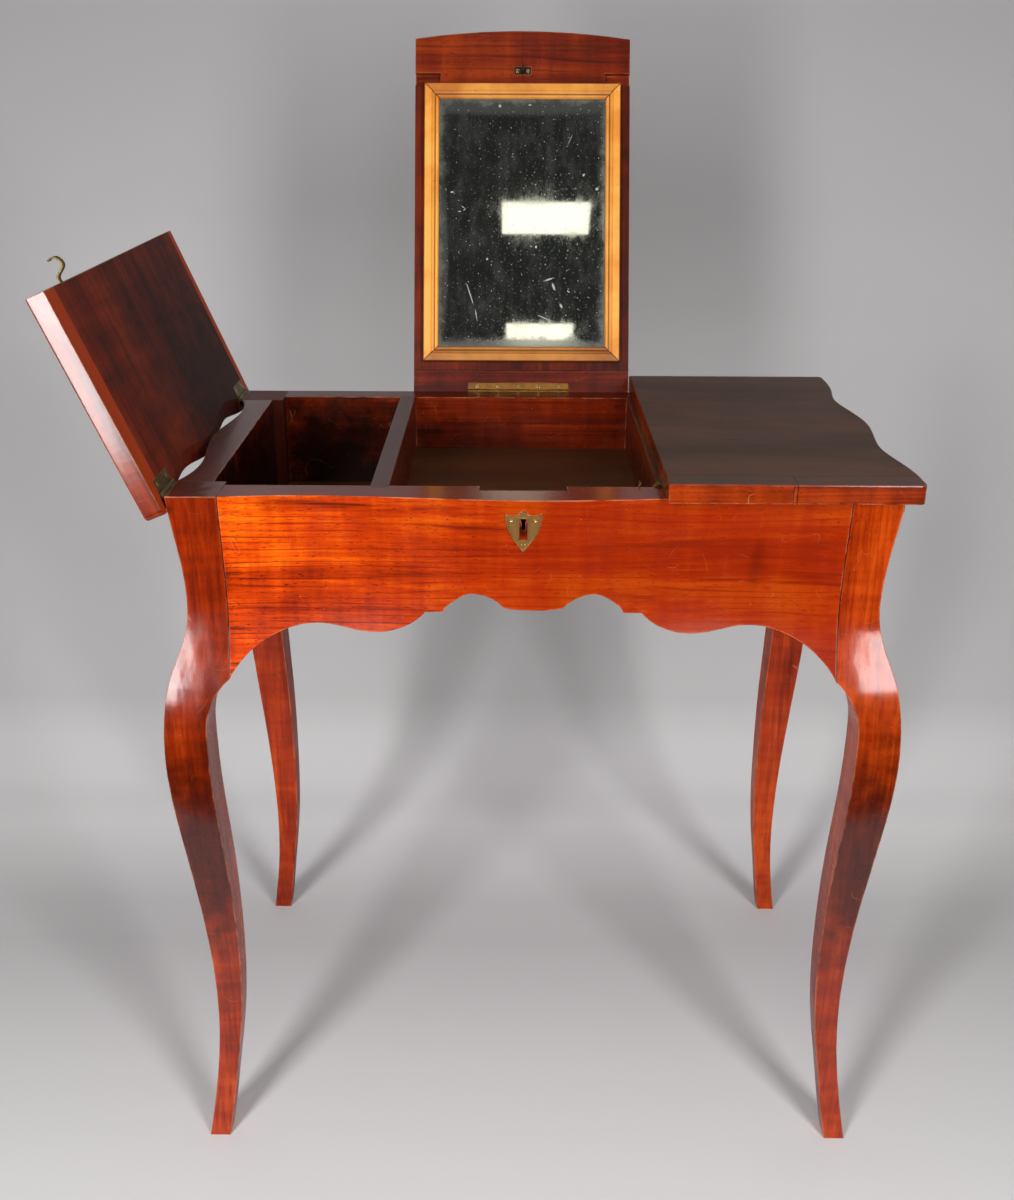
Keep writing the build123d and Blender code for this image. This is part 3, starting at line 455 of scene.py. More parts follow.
@dataclass(frozen=True)
class PolishedCherry:
    """Cherry, planed by hand and French polished, which has gone orange-red with age.

    The eye gets long straight growth lines under a thin bright film, and edges that a
    century of dusting has rubbed paler.

    Attributes:
        name: Name of the finish.
        tone: Colours of the board.
        growth_mm: Spacing of the growth lines; true rings are about 2 mm, drawn coarser to show.
        lines: Strength of the growth lines, from 0 to 1.
        roughness: Roughness of the film.
        dull_roughness: Roughness of the dusty tops and of the undersides, which were never filled.
        coat: Weight of the fresh wax over it.
        coat_roughness: Roughness of that wax.
        wear: How much the edges are rubbed, from 0 to 1.
        arris_mm: How wide they are rubbed.
        specks: How many pale nicks and dust specks show, from 0 to 1.
        scratches: Strength of the hairline scratches, from 0 to 1.
        specular: Gloss of the wood under the film, where 0.5 is a closed surface.
        dusty: How much of the wax is gone from the upper faces, from 0 to 1.
        sides_bare: How much of it is gone from the faces that look left and right.
        waves_mm: Height of the plane's and the scraper's waves, drawn larger to show in the gloss.
    """

    name: str
    tone: WoodTone
    growth_mm: float = 3.8
    lines: float = 0.55
    roughness: float = 0.24
    dull_roughness: float = 0.5
    coat: float = 0.42
    coat_roughness: float = 0.13
    wear: float = 0.8
    arris_mm: float = 2.2
    specks: float = 0.6
    scratches: float = 0.3
    specular: float = 0.3
    dusty: float = 0.45
    sides_bare: float = 0.85
    waves_mm: float = 1.2

    def polish(self, piece: str, grain: Grain, rest: Rest = Rest.FIXED, seams: Sequence[Seam] = (),
               stains_and_shade: Sequence[StainAndPaintedShade] = (), fade: Optional[Fade] = None, shift: float = 0.0,
               crown: Optional[float] = None) -> None:
        """Make this finish for one piece and put it on.

        Args:
            piece: The piece's name.
            grain: Which way its fibres run.
            rest: How its body stands at rest.
            seams: Joints that show as dark lines.
            stains_and_shade: Soft dark patches of ink, wax and dirt, and painted shade on the case's inner
                walls.
            fade: How it darkens along X.
            shift: Moves the pattern, so that two boards aren't the same.
            crown: X of the middle of a face that the scraper has left slightly round.
        """
        material, add = blank(f"{self.name}.{piece}")
        board, tone = Board.lay(add, grain, rest, shift), self.tone
        layers = [(board.up, tone.top), (self._grime(board), tone.soot_and_shade),
                  (add("Math.MULTIPLY", board.down, tone.bare), tone.under or tone.dark)]
        layers += [(fade.mask(board), tone.dark)] if fade else []
        # Dark patches: ink and wax in the wood, and painted shade on the case's inner walls.
        layers += [(dark_patch.mask(board), tone.soot_and_shade) for dark_patch in stains_and_shade]
        layers += [(self._wear(board), tone.arris)] + [(seam.mask(board), GLUE) for seam in seams]
        colour = self._figure(board)
        for mask, paint in layers:
            colour = add("Mix.RGBA", mask, colour, paint)
        normal = self._relief(board, crown)
        shader = add("BsdfPrincipled", sockets={
            "Base Color": colour, "Roughness": self._roughness(board), "Normal": normal,
            "IOR": FILM_IOR, "Specular IOR Level": self.specular, "Coat Weight": self._wax(board),
            "Coat Roughness": self.coat_roughness, "Coat IOR": FILM_IOR, "Coat Normal": normal})
        add("OutputMaterial", shader)
        put_on(piece, material)

    def _figure(self, board: Board) -> Node:
        """Colour the bare figure: zones, growth lines, fibres and pores.

        Args:
            board: What the piece's patterns follow.

        Returns:
            The colour.
        """
        add, fibre = board.add, board.fibre
        ring = add("VectorMath.DOT_PRODUCT", fibre, RING_LEAN)
        for bend, rings in BENDS:
            ring = add("Math.MULTIPLY_ADD", bend.draw(add, fibre), rings * self.growth_mm * MM, ring)
        ring = add("Math.FRACT", add("Math.MULTIPLY", ring, 1000 / self.growth_mm))
        ring = add("MapRange.SMOOTHSTEP", ring, *LATE_WOOD)
        line = add("Math.MULTIPLY", ring, BROKEN.draw(add, fibre, self.lines))
        for dark in (VEIN, PORE):
            line = add("Math.MAXIMUM", line, dark.draw(add, fibre, self.lines))
        blend: Any = 0.0
        for pattern, share in BLEND:
            blend = add("Math.MULTIPLY_ADD", pattern.draw(add, fibre), share, blend)
        base = add("ValToRGB", blend,
                   stops=tuple(zip(TONE_PLACES, (self.tone.dark, self.tone.mid, self.tone.light))))
        return add("Mix.RGBA", line, base, self.tone.line)

    def _grime(self, board: Board) -> Node:
        """Mask soft bands and short dashes along the grain of the upper faces."""
        dark = board.add("Math.MAXIMUM", *(p.draw(board.add, board.fibre) for p in (BANDS, DASHES)))
        return board.add("Math.MULTIPLY", dark, board.up)

    def _wear(self, board: Board) -> Node:
        """Mask the rubbed arrises, pale nicks, dust specks and hairline scratches.

        Args:
            board: What the piece's patterns follow.

        Returns:
            How pale each point is.
        """
        add, fibre = board.add, board.fibre
        edge = squareness(add, add("Bevel", self.arris_mm * MM, samples=BEVEL_SAMPLES))
        edge = add("MapRange", edge, *WORN, 0.0, self.wear)
        edge = add("Math.MULTIPLY", edge, RUBBED.draw(add, fibre))
        hair = apart(add, HAIRS.draw(add, fibre), 0.5)
        hair = add("MapRange", hair, *HAIR_WIDTH, self.scratches, 0.0)
        hair = add("Math.MULTIPLY", hair, SCRATCHED.draw(add, fibre))
        pale = add("Math.MAXIMUM", edge, SPECKS.draw(add, fibre, self.specks))
        return add("Math.MAXIMUM", pale, hair)

    def _roughness(self, board: Board) -> Node:
        """Vary the film's roughness, and dull the upper and lower faces.

        Args:
            board: What the piece's patterns follow.

        Returns:
            The roughness.
        """
        film = board.add("MapRange", HANDLED.draw(board.add, board.closed), *DULL_TO_BRIGHT,
                         self.roughness * 0.8, self.roughness * 1.25)
        dull = board.add("Math.MAXIMUM", board.up, board.down)
        return board.add("Mix.FLOAT", dull, film, self.dull_roughness)

    def _wax(self, board: Board) -> Node:
        """Weigh the wax that dust, wear and the years have left.

        Args:
            board: What the piece's patterns follow.

        Returns:
            The wax's weight.
        """
        bare = board.add("Math.MULTIPLY_ADD", board.up, self.dusty, board.down)
        bare = board.add("Math.MULTIPLY_ADD", board.side, self.sides_bare, bare, use_clamp=True)
        return board.add("MapRange", bare, 0.0, 1.0, self.coat, 0.0)

    def _relief(self, board: Board, crown: Optional[float]) -> Node:
        """Bend the normal by the scraper's crown, hand-planed waves, shrunken film and open grain.

        Args:
            board: What the piece's patterns follow.
            crown: X of the middle of a slightly round face, or none.

        Returns:
            The normal.
        """
        add = board.add
        layers: list[tuple[float, float, Node]] = []
        if crown is not None:
            across = add("Math.SUBTRACT", add("SeparateXYZ", board.closed).outputs["X"], crown)
            across = add("Math.MULTIPLY", add("Math.POWER", across, 2.0), -CROWN_PER_M)
            layers.append((1.0, 1000.0, across))
        layers += [(strength, depth_mm, pattern.draw(add, board.fibre)) for strength, depth_mm, pattern in (
            (0.45, self.waves_mm, PLANED), (0.3, 0.14, FILM), (0.35, 0.12, STREAK))]
        normal = add("Bevel", 1.2 * MM, samples=BEVEL_SAMPLES)
        for strength, depth_mm, height in layers:
            normal = add("Bump", sockets={"Strength": strength, "Distance": depth_mm * MM,
                                          "Height": height, "Normal": normal})
        return normal


# ---- other finishes ----------------------------------------------------------
@dataclass(frozen=True)
class WaxedBoxwood:
    """Pale fruitwood moulding, scraped to a profile and waxed until it looks gilt.

    It is satin rather than glossy, with dirt left in the hollow and at the mitres.

    Attributes:
        name: Name of the finish.
        light: Colour where the wax is clear.
        dark: Colour where it has gone brown.
        dirt: Colour of the dirt.
        half: Half the width and half the height of the moulding's frame.
        hollow: How far the moulding's hollow lies inside the frame's edge.
        roughness: Roughness of the wax.
    """

    name: str
    light: str = "#faac4a"
    dark: str = "#de882e"
    dirt: str = "#3a1808"
    half: tuple[float, float] = (0.116, 0.16435)
    hollow: float = 12.9 * MM
    roughness: float = 0.36

    def material(self) -> bpy.types.Material:
        """Make the finish.

        Returns:
            The material, which draws the four mitres from the frame's own size.
        """
        material, add = blank(self.name)
        closed = Rest.PANEL.place(add)
        figure = BOXWOOD.draw(add, closed)
        colour = add("ValToRGB", figure, stops=((0.38, self.dark), (0.60, self.light)))
        inward = inside(add, closed, self.half)
        edge = add("Math.MINIMUM", *inward)
        dirt = FLY_SPECKS.draw(add, closed)
        mitres, hollow, rim = apart(add, *inward), apart(add, edge, self.hollow), edge
        for away, full_mm, gone_mm, most in ((mitres, 0.5, 1.1, 0.9), (hollow, 0.3, 1.6, 0.75),
                                             (rim, 0.2, 1.3, 0.75)):
            line = add("MapRange", away, full_mm * MM, gone_mm * MM, most, 0.0)
            dirt = add("Math.MAXIMUM", dirt, line)
        colour = add("Mix.RGBA", dirt, colour, self.dirt)
        relief = add("Bump", sockets={"Strength": 0.3, "Distance": 0.2 * MM, "Height": figure,
                                      "Normal": add("Bevel", 0.8 * MM, samples=BEVEL_SAMPLES)})
        shader = add("BsdfPrincipled", sockets={"Base Color": colour, "Roughness": self.roughness,
                                                "Normal": relief, "IOR": FILM_IOR})
        add("OutputMaterial", shader)
        return material


@dataclass(frozen=True)
class Flaw:
    """One lost flake, scratch or cloud in the silvering, as a slim ellipse.

    Attributes:
        x: Place of its middle, with the panel shut.
        y: The same.
        length_mm: Half its length.
        width_mm: Half its width.
        turn: How far its length is turned from X, in degrees.
        strength: How much of the silver is lost, from 0 to 1.
    """

    x: float
    y: float
    length_mm: float
    width_mm: float
    turn: float = 0.0
    strength: float = 0.95


@dataclass(frozen=True)
class OldSilvering:
    """Tin-mercury mirror plate: dark, with haze creeping in from the edges, flakes and pinholes.

    Attributes:
        name: Name of the finish.
        silver: Colour of the tarnished silvering.
        haze: Colour where the silvering is lost.
        hazed_roughness: Roughness where it is lost.
        wisps: How much of it is lost between the wisps of tarnish and in them.
        bloom: How much of it is lost at the edges.
        bloom_mm: How far in from the edges the bloom is full, and how far it reaches.
        cloud_mm: How far its border is drawn in by clouds.
        pinholes: Spacing and width of the pinholes in mm, how many there are, and how pale they are.
        half: Half the plate's width and half its height.
        flaws: The larger flakes, scratches and clouds.
    """

    name: str = "old_mirror_plate"
    silver: str = "#6d706a"
    haze: str = "#a9aca4"
    hazed_roughness: float = 0.35
    wisps: tuple[float, float] = (0.07, 0.26)
    bloom: float = 0.42
    bloom_mm: tuple[float, float] = (11.0, 30.0)
    cloud_mm: float = 30.0
    pinholes: tuple[tuple[float, float, float, float], ...] = (
        (13.0, 1.1, 0.45, 0.75), (8.0, 0.9, 0.6, 0.45), (5.0, 0.7, 0.7, 0.3))
    half: tuple[float, float] = (0.0985, 0.14685)
    flaws: tuple[Flaw, ...] = (
        Flaw(0.1009, -0.1316, 2.0, 1.4, 60), Flaw(0.1169, -0.1150, 2.4, 1.8, 20),
        Flaw(-0.0549, -0.1107, 2.4, 1.2, 10), Flaw(0.0450, -0.0460, 1.3, 1.9),
        Flaw(-0.0130, -0.0315, 1.5, 1.5), Flaw(0.0750, 0.0238, 1.6, 3.4, 25),
        Flaw(0.0836, 0.0068, 2.2, 0.9, -30), Flaw(-0.0418, -0.0930, 3.2, 0.6, -35),
        Flaw(-0.0400, -0.0900, 3.0, 0.6, 40), Flaw(-0.0460, -0.0880, 2.4, 0.6, 5),
        Flaw(-0.0330, 0.0100, 15.0, 0.8, -72), Flaw(-0.0255, 0.0350, 9.0, 0.6, -80),
        Flaw(0.0560, 0.0385, 12.0, 0.6, -24), Flaw(0.0600, -0.0075, 7.0, 1.2, 20),
        Flaw(0.0660, 0.0010, 6.0, 1.6, -70), Flaw(0.0014, -0.2129, 2.0, 2.6),
        Flaw(0.0370, -0.2142, 2.6, 1.0), Flaw(0.0846, -0.1730, 0.8, 9.0, -25, 0.5),
        Flaw(0.0281, -0.2170, 300.0, 20.0, 0, 0.22), Flaw(0.0560, 0.0010, 16.0, 13.0, 0, 0.10),
        Flaw(0.0281, 0.0700, 160.0, 8.0, 0, 0.30), Flaw(-0.0660, -0.0300, 9.0, 120.0, 0, 0.22),
        Flaw(-0.0100, -0.0450, 18.0, 40.0, 8, 0.09),
    )

    def material(self) -> bpy.types.Material:
        """Make the finish.

        Returns:
            The material.
        """
        material, add = blank(self.name)
        closed = Rest.PANEL.place(add)
        wisps = add("MapRange", WISPS.draw(add, closed), *WISPS_SHOW, *self.wisps)
        haze = add("Math.MAXIMUM", self._edge_haze(add, closed), wisps)
        haze = self._pinholes(add, closed, haze)
        haze = self._flaws(add, closed, haze)
        shader = add("BsdfPrincipled", sockets={
            "Base Color": add("Mix.RGBA", haze, self.silver, self.haze),
            "Metallic": add("Math.SUBTRACT", 1.0, haze),
            "Roughness": add("Math.MULTIPLY", haze, self.hazed_roughness)})
        add("OutputMaterial", shader)
        return material

    def _edge_haze(self, add: Adder, closed: Node) -> Node:
        """Let bloom creep in from the four edges, widest at the top and the foot.

        Args:
            add: Adds a node to the material.
            closed: Place with the panel shut.

        Returns:
            How much of the silver is lost.
        """
        beside, beyond = inside(add, closed, self.half)
        edge = add("Math.MINIMUM", beside, add("Math.MULTIPLY", beyond, 0.75))
        edge = add("Math.MULTIPLY_ADD", BLOOM.draw(add, closed), self.cloud_mm * MM, edge)
        full, gone = (reach * MM for reach in self.bloom_mm)
        return add("MapRange.SMOOTHSTEP", edge, full, gone, self.bloom, 0.0)

    def _pinholes(self, add: Adder, closed: Node, haze: Node) -> Node:
        """Add the pinholes to the haze.

        Args:
            add: Adds a node to the material.
            closed: Place with the panel shut.
            haze: How much of the silver is lost so far.

        Returns:
            How much of it is lost with them.
        """
        for spacing_mm, wide_mm, share, most in self.pinholes:
            hole = add("TexVoronoi", closed, 1000 / spacing_mm, voronoi_dimensions="2D")
            chance = add("SeparateColor", hole.outputs["Color"])
            kept = add("Math.MULTIPLY", add("Math.LESS_THAN", chance, share), most)
            wide = wide_mm / spacing_mm
            dot = add("MapRange", hole.outputs["Distance"], 0.4 * wide, 0.7 * wide, 1.0, 0.0)
            haze = add("Math.MAXIMUM", haze, add("Math.MULTIPLY", dot, kept))
        return haze

    def _flaws(self, add: Adder, closed: Node, haze: Node) -> Node:
        """Add the flakes, scratches and clouds to the haze.

        Args:
            add: Adds a node to the material.
            closed: Place with the panel shut.
            haze: How much of the silver is lost so far.

        Returns:
            How much of it is lost with them.
        """
        for flaw in self.flaws:
            spot = add("Mapping.TEXTURE", closed, (flaw.x, flaw.y, 0.0),
                       (0.0, 0.0, -math.radians(flaw.turn)),
                       (flaw.length_mm * MM, flaw.width_mm * MM, 1000.0))
            spot = add("Math.MULTIPLY_ADD", FLAKED.draw(add, closed), FLAKE_RAGGEDNESS,
                       add("VectorMath.LENGTH", spot))
            spot = add("MapRange", spot, *FLAKE_BORDER, flaw.strength, 0.0)
            haze = add("Math.MAXIMUM", haze, spot)
        return haze


@dataclass(frozen=True)
class AgedMetal:
    """Cast or rolled metal that has been handled for two centuries.

    Attributes:
        name: Name of the finish.
        bright: Colour where hands and screwdrivers have rubbed it.
        dull: Colour of the tarnished face.
        roughness: Roughness of the tarnished face.
        metallic: How much bare metal is left on the tarnished face.
        patch_mm: Size of the tarnish patches.
    """

    name: str
    bright: str
    dull: str
    roughness: float = 0.42
    metallic: float = 0.6
    patch_mm: float = 14.0

    def material(self) -> bpy.types.Material:
        """Make the finish.

        Returns:
            The material.
        """
        material, add = blank(self.name)
        tarnish = Pattern(1000 / self.patch_mm, 5.0, fine=0.65).draw(add, add("TexCoord").outputs["Object"])
        bevel = add("Bevel", 0.7 * MM, samples=BEVEL_SAMPLES)
        edge = add("MapRange", squareness(add, bevel), 0.98, 0.85)
        rubbed = add("Math.MAXIMUM", add("MapRange", tarnish, *RUBBED_BRIGHT, 0.0, 0.7), edge)
        colour = add("Mix.RGBA", rubbed, self.dull, self.bright)
        rough = add("MapRange", rubbed, 0.0, 1.0, self.roughness, self.roughness * 0.6)
        metal = add("MapRange", rubbed, 0.0, 1.0, self.metallic, 1.0)
        relief = add("Bump", sockets={"Strength": 0.3, "Distance": 0.08 * MM,
                                      "Height": tarnish, "Normal": bevel})
        shader = add("BsdfPrincipled", sockets={"Base Color": colour, "Metallic": metal,
                                                "Roughness": rough, "Normal": relief})
        add("OutputMaterial", shader)
        return material


CLEAR_CHERRY = WoodTone(dark="#861e03", mid="#cc3e03", light="#ff700a", line="#440d03", top="#5c2414",
                        arris="#e09a6c")
LEG_CHERRY = WoodTone(dark="#6e1a02", mid="#962a03", light="#bc440a", line="#2c0902", top="#5c2414",
                      arris="#d48a60")
LID_CHERRY = WoodTone(dark="#521502", mid="#742003", light="#a03608", line="#280802", top="#604a3c",
                      arris="#d88a5c", soot_and_shade="#1c110d", under="#c8460e", bare=0.55)
SMOKED_CHERRY = WoodTone(dark="#3c1207", mid="#722008", light="#983610", line="#1c0803", top="#604a3c",
                         arris="#9a5c3c", soot_and_shade="#1c110d")
PANEL_CHERRY = WoodTone(dark="#480f02", mid="#721d02", light="#983605", line="#200702", top="#604a3c",
                        arris="#b46a40", soot_and_shade="#1c110d")
STILE_CHERRY = WoodTone(dark="#2c0802", mid="#581502", light="#7a2404", line="#160402", top="#604a3c",
                        arris="#7a3c22", soot_and_shade="#1c110d")
INSIDE_CHERRY = WoodTone(dark="#360c02", mid="#5a1803", light="#762606", line="#1c0602", top="#4c261a",
                         arris="#8a4a2c")
TRAY_PINE = WoodTone(dark="#3c1a06", mid="#542a0c", light="#704018", line="#1c0b04", top="#5c3212",
                     arris="#7c4c28")


# ---- sub-assemblies ----------------------------------------------------------
@dataclass
class Case:
    """Legs, aprons, partitions and floors.  Its sizes are taken from the middle of the case.

    Attributes:
        post_x: Half the distance between the posts, seen from the front.
        post_y: The same, seen from the side.
        knee_x: How far out the middle of a front leg's face is.
        shin: Middle of the dark patch on a front leg, below the knee.
        shin_reach: How far that patch reaches.
        well_x: Middles of the two wells.
        well_z: Height of the middle of the painted shade in them.
    """

    post_x: float = 0.2853
    post_y: float = 0.1573
    knee_x: float = 0.318
    shin: Triple = (0.32, 0.2, 0.36)
    shin_reach: Triple = (0.15, 0.15, 0.20)
    well_x: tuple[float, float] = (-0.225, 0.215)
    well_z: float = 0.645

    def dress(self) -> None:
        """Polish the whole case."""
        self._dress_legs()
        self._dress_aprons()
        self._dress_inside()

    def _dress_legs(self) -> None:
        """Run the grain upright, with a dark line where each apron meets its post."""
        finish = PolishedCherry("polished_cherry_leg", LEG_CHERRY, growth_mm=6.5, lines=0.36, coat=0.75,
                                dull_roughness=0.26, specular=0.12, waves_mm=2.2)
        plain = PolishedCherry("waxed_cherry_rear_leg", LEG_CHERRY, growth_mm=6.5, lines=0.36,
                               roughness=0.42, coat=0.12, specular=0.2)
        for number, (hand, side) in enumerate((("left", -1), ("right", 1))):
            out, back, height = self.shin
            patch = StainAndPaintedShade((CASE_CENTRE.x + side * out, CASE_CENTRE.y - back, height), self.shin_reach,
                          0.80, (0.0, -1.0, 0.0))
            post = Seam(0, CASE_CENTRE.x + side * self.post_x)
            seams = {end: [post, Seam(1, CASE_CENTRE.y + end * self.post_y)] for end in (-1, 1)}
            finish.polish(f"front_{hand}_leg", Grain.UPRIGHT, seams=seams[-1], stains_and_shade=[patch],
                          shift=0.37 * number, crown=CASE_CENTRE.x + side * self.knee_x)
            plain.polish(f"rear_{hand}_leg", Grain.UPRIGHT, seams=seams[1], shift=0.37 * number + 0.81)

    def _dress_aprons(self) -> None:
        """Run the grain along each apron."""
        front = PolishedCherry("polished_cherry_apron", CLEAR_CHERRY, growth_mm=6.5, lines=0.85,
                               scratches=0.16, dull_roughness=0.24)
        plain = PolishedCherry("polished_cherry_back", LEG_CHERRY, growth_mm=4.5, coat=0.3,
                               dull_roughness=0.26)
        ends = [Seam(0, CASE_CENTRE.x + side * self.post_x) for side in (-1, 1)]
        corners = [Seam(1, CASE_CENTRE.y + end * self.post_y) for end in (-1, 1)]
        patch = StainAndPaintedShade((CASE_CENTRE.x + 0.205, -0.30, 0.660), (0.012, 0.05, 0.045), 0.5)
        low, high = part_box("keyhole_shield")
        keyhole = StainAndPaintedShade(tuple((low + high) / 2), (0.006, 0.05, 0.012), 0.85)
        front.polish("front_apron", Grain.ACROSS, seams=ends, stains_and_shade=[patch, keyhole],
                     fade=Fade(-0.22, 0.06, 0.8))
        plain.polish("rear_apron", Grain.ACROSS, seams=ends, stains_and_shade=self._wall_painted_shade((0.0, -1.0, 0.0)),
                     shift=1.3)
        for number, name in enumerate(("left_apron", "right_apron")):
            plain.polish(name, Grain.FRONT_TO_BACK, seams=corners, shift=2.1 + number,
                         stains_and_shade=self._wall_painted_shade((1.0 - 2.0 * number, 0.0, 0.0)))

    def _wall_painted_shade(self, faces: Triple) -> list[StainAndPaintedShade]:
        """Paint shade on the inner walls: light all over, a shadow on the tray's back, and black low in the
        two wells.

        Args:
            faces: The way the wall looks.

        Returns:
            The patches.
        """
        x, y, _ = CASE_CENTRE
        width = 0.14 if faces[0] == 0 else 1.0
        # Painted shade: the inside darkens a little all over, a painted shadow falls across the tray's back,
        # and the wells go black low down.
        painted_wall_shade = StainAndPaintedShade((x, y, 0.640), (2.0, 2.0, 0.3), 0.45, faces)
        shade = StainAndPaintedShade((x - 0.075, y + 0.175, 0.668), (0.12, 0.10, 0.045), 0.7, faces)
        return [painted_wall_shade, shade] + [StainAndPaintedShade((x + well, y, self.well_z), (width, 2.0, 0.180), 0.99, faces)
                                    for well in self.well_x]

    def _dress_inside(self) -> None:
        """Wax the partitions thinly and leave the three floors bare."""
        wall = PolishedCherry("worn_cherry_partition", INSIDE_CHERRY, roughness=0.32, coat=0.3,
                              dull_roughness=0.3)
        for number, name in enumerate(("left_partition", "right_partition")):
            wall.polish(name, Grain.FRONT_TO_BACK, shift=0.6 + number)
        floor = PolishedCherry("worn_pine_floor", TRAY_PINE, growth_mm=9.0, roughness=0.6, coat=0.0)
        for number, name in enumerate(("tray_floor", "left_well_floor", "right_well_floor")):
            floor.polish(name, Grain.ACROSS, shift=3.0 + number)


@dataclass
class SideLid:
    """One side lid with its edgings.

    Attributes:
        side: "left" or "right".
        rest: How the lid stands at rest.
        edgings: Names of its edging pieces after the side.
        joints: X of butt joints in the front edging.
        darkest_x: How far out its underside is darkest.
    """

    side: str
    rest: Rest
    edgings: tuple[str, ...]
    joints: tuple[float, ...] = ()
    darkest_x: float = 0.308

    def dress(self) -> None:
        """Darken and polish the top and the underside, and band them with orange edges."""
        name = self.side + "_lid_board"
        seams = [Seam(1, corner.y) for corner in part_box(name)]
        butts = [Seam(0, x, 0.9 * MM) for x in self.joints]
        board = PolishedCherry("smoked_cherry_board", SMOKED_CHERRY, growth_mm=7.0, lines=0.4, coat=0.0,
                               dull_roughness=0.55, specular=0.12)
        edging = PolishedCherry("polished_cherry_edging", LID_CHERRY, growth_mm=4.5, coat=0.85,
                                dull_roughness=0.55, specular=0.14, dusty=1.0)
        darkest_x = CASE_CENTRE.x + (-self.darkest_x if self.side == "left" else self.darkest_x)
        # The underside is darker towards its outer edge and the rear.
        darker_underside = StainAndPaintedShade((darkest_x, 0.04, RAIL_TOP), (0.24, 0.32, 1.0), 0.90, (0.0, 0.0, -1.0))
        board.polish(name, Grain.ACROSS, self.rest, seams, [darker_underside], shift=len(self.side))
        for number, edge in enumerate(self.edgings):
            edging.polish(self.side + edge, Grain.ACROSS, self.rest, seams + butts, shift=0.9 * number)


@dataclass
class LookingGlassPanel:
    """Centre panel with its glass and moulding.

    Attributes:
        head_joint: Y of the joint under the head rail, with the panel shut.
        foot_joint: Y of the joint above the foot rail, with the panel shut.
        crack: X of the crack in the head rail.
    """

    head_joint: float = CASE_CENTRE.y - 0.157
    foot_joint: float = CASE_CENTRE.y + 0.1815
    crack: float = CASE_CENTRE.x - 0.010

    def dress(self) -> None:
        """Finish the rails, the dark board, the moulding and the mirror plate."""
        seams = [Seam(1, self.head_joint), Seam(1, self.foot_joint)]
        rail = PolishedCherry("polished_cherry_rail", PANEL_CHERRY, growth_mm=6.0, lines=0.7,
                              dull_roughness=0.34, specular=0.2)
        board = PolishedCherry("polished_cherry_panel", STILE_CHERRY, growth_mm=6.0,
                               dull_roughness=0.34, specular=0.2)
        crack = Seam(0, self.crack, 0.5 * MM)
        rail.polish("mirror_head_rail", Grain.ACROSS, Rest.PANEL, seams + [crack], shift=0.2)
        rail.polish("mirror_foot_rail", Grain.ACROSS, Rest.PANEL, seams, shift=1.7)
        board.polish("mirror_board", Grain.FRONT_TO_BACK, Rest.PANEL, seams, shift=0.9)
        upright = WaxedBoxwood("waxed_boxwood_upright").material()
        # The head and foot mouldings are darker copies of the upright one: painted shade where their faces
        # turn from the lamps.
        head = WaxedBoxwood("waxed_boxwood_head_painted_shade", light="#dc943c", dark="#b86c26").material()
        foot = WaxedBoxwood("waxed_boxwood_foot_painted_shade", light="#c07c34", dark="#9c5a22").material()
        for edge, moulding in (("head", head), ("foot", foot), ("left", upright), ("right", upright)):
            put_on("mirror_moulding_" + edge, moulding)
        put_on("mirror_glass", OldSilvering().material())


@dataclass
class Fittings:
    """Hinges, hooks, lock and keyhole shield.

    Attributes:
        iron: The lock's pieces.
        shield: The keyhole shield.
        screw: Every screw and nail.
        brass: The panel's long hinge.
        dark_brass: The lids' hinges and hooks.
    """

    iron: AgedMetal = AgedMetal("wrought_iron_lock", bright="#4a3c32", dull="#2a1c16", roughness=0.55)
    shield: AgedMetal = AgedMetal("cast_brass_shield", bright="#c99a58", dull="#8a6230", roughness=0.5)
    screw: AgedMetal = AgedMetal("polished_brass_screw", bright="#e0c48c", dull="#a07a40", roughness=0.3)
    brass: AgedMetal = AgedMetal("old_rolled_brass", bright="#ac7836", dull="#70491c")
    dark_brass: AgedMetal = AgedMetal("dark_brass_butt", bright="#8c7440", dull="#54421e", roughness=0.5)

    def dress(self) -> None:
        """Give each fitting the first metal whose word is in its name."""
        metals = [(finish.material(), words) for finish, words in (
            (self.iron, ("lock_case", "lock_bolt", "lock_striker")), (self.screw, ("screws", "nails")),
            (self.shield, ("keyhole_shield",)), (self.brass, ("mirror_hinge",)),
            (self.dark_brass, ("hinge", "hook")))]
        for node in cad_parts:
            fitting = [material for material, words in metals if any(word in node for word in words)]
            if fitting:
                put_on(node, fitting[0])


# ---- studio ------------------------------------------------------------------
@dataclass(frozen=True)
class Softbox:
    """A rectangular lamp with its diffuser.

    Attributes:
        name: What the lamp is.
        place: Its middle.
        aim: The point it faces.
        size: Width and height.
        watts: Its power.
    """

    name: str
    place: Triple
    aim: Triple
    size: tuple[float, float]
    watts: float

    def hang(self) -> None:
        """Add the lamp to the scene."""
        data = bpy.data.lights.new(self.name, "AREA")
        data.shape = "RECTANGLE"
        data.size, data.size_y = self.size
        data.energy = self.watts
        lamp = bpy.data.objects.new(self.name, data)
        lamp.location = self.place
        towards = Vector(self.aim) - Vector(self.place)
        lamp.rotation_mode = "QUATERNION"
        lamp.rotation_quaternion = towards.to_track_quat("-Z", "Y")
        bpy.context.scene.collection.objects.link(lamp)
        LOG.info("lamp %s", self.name)


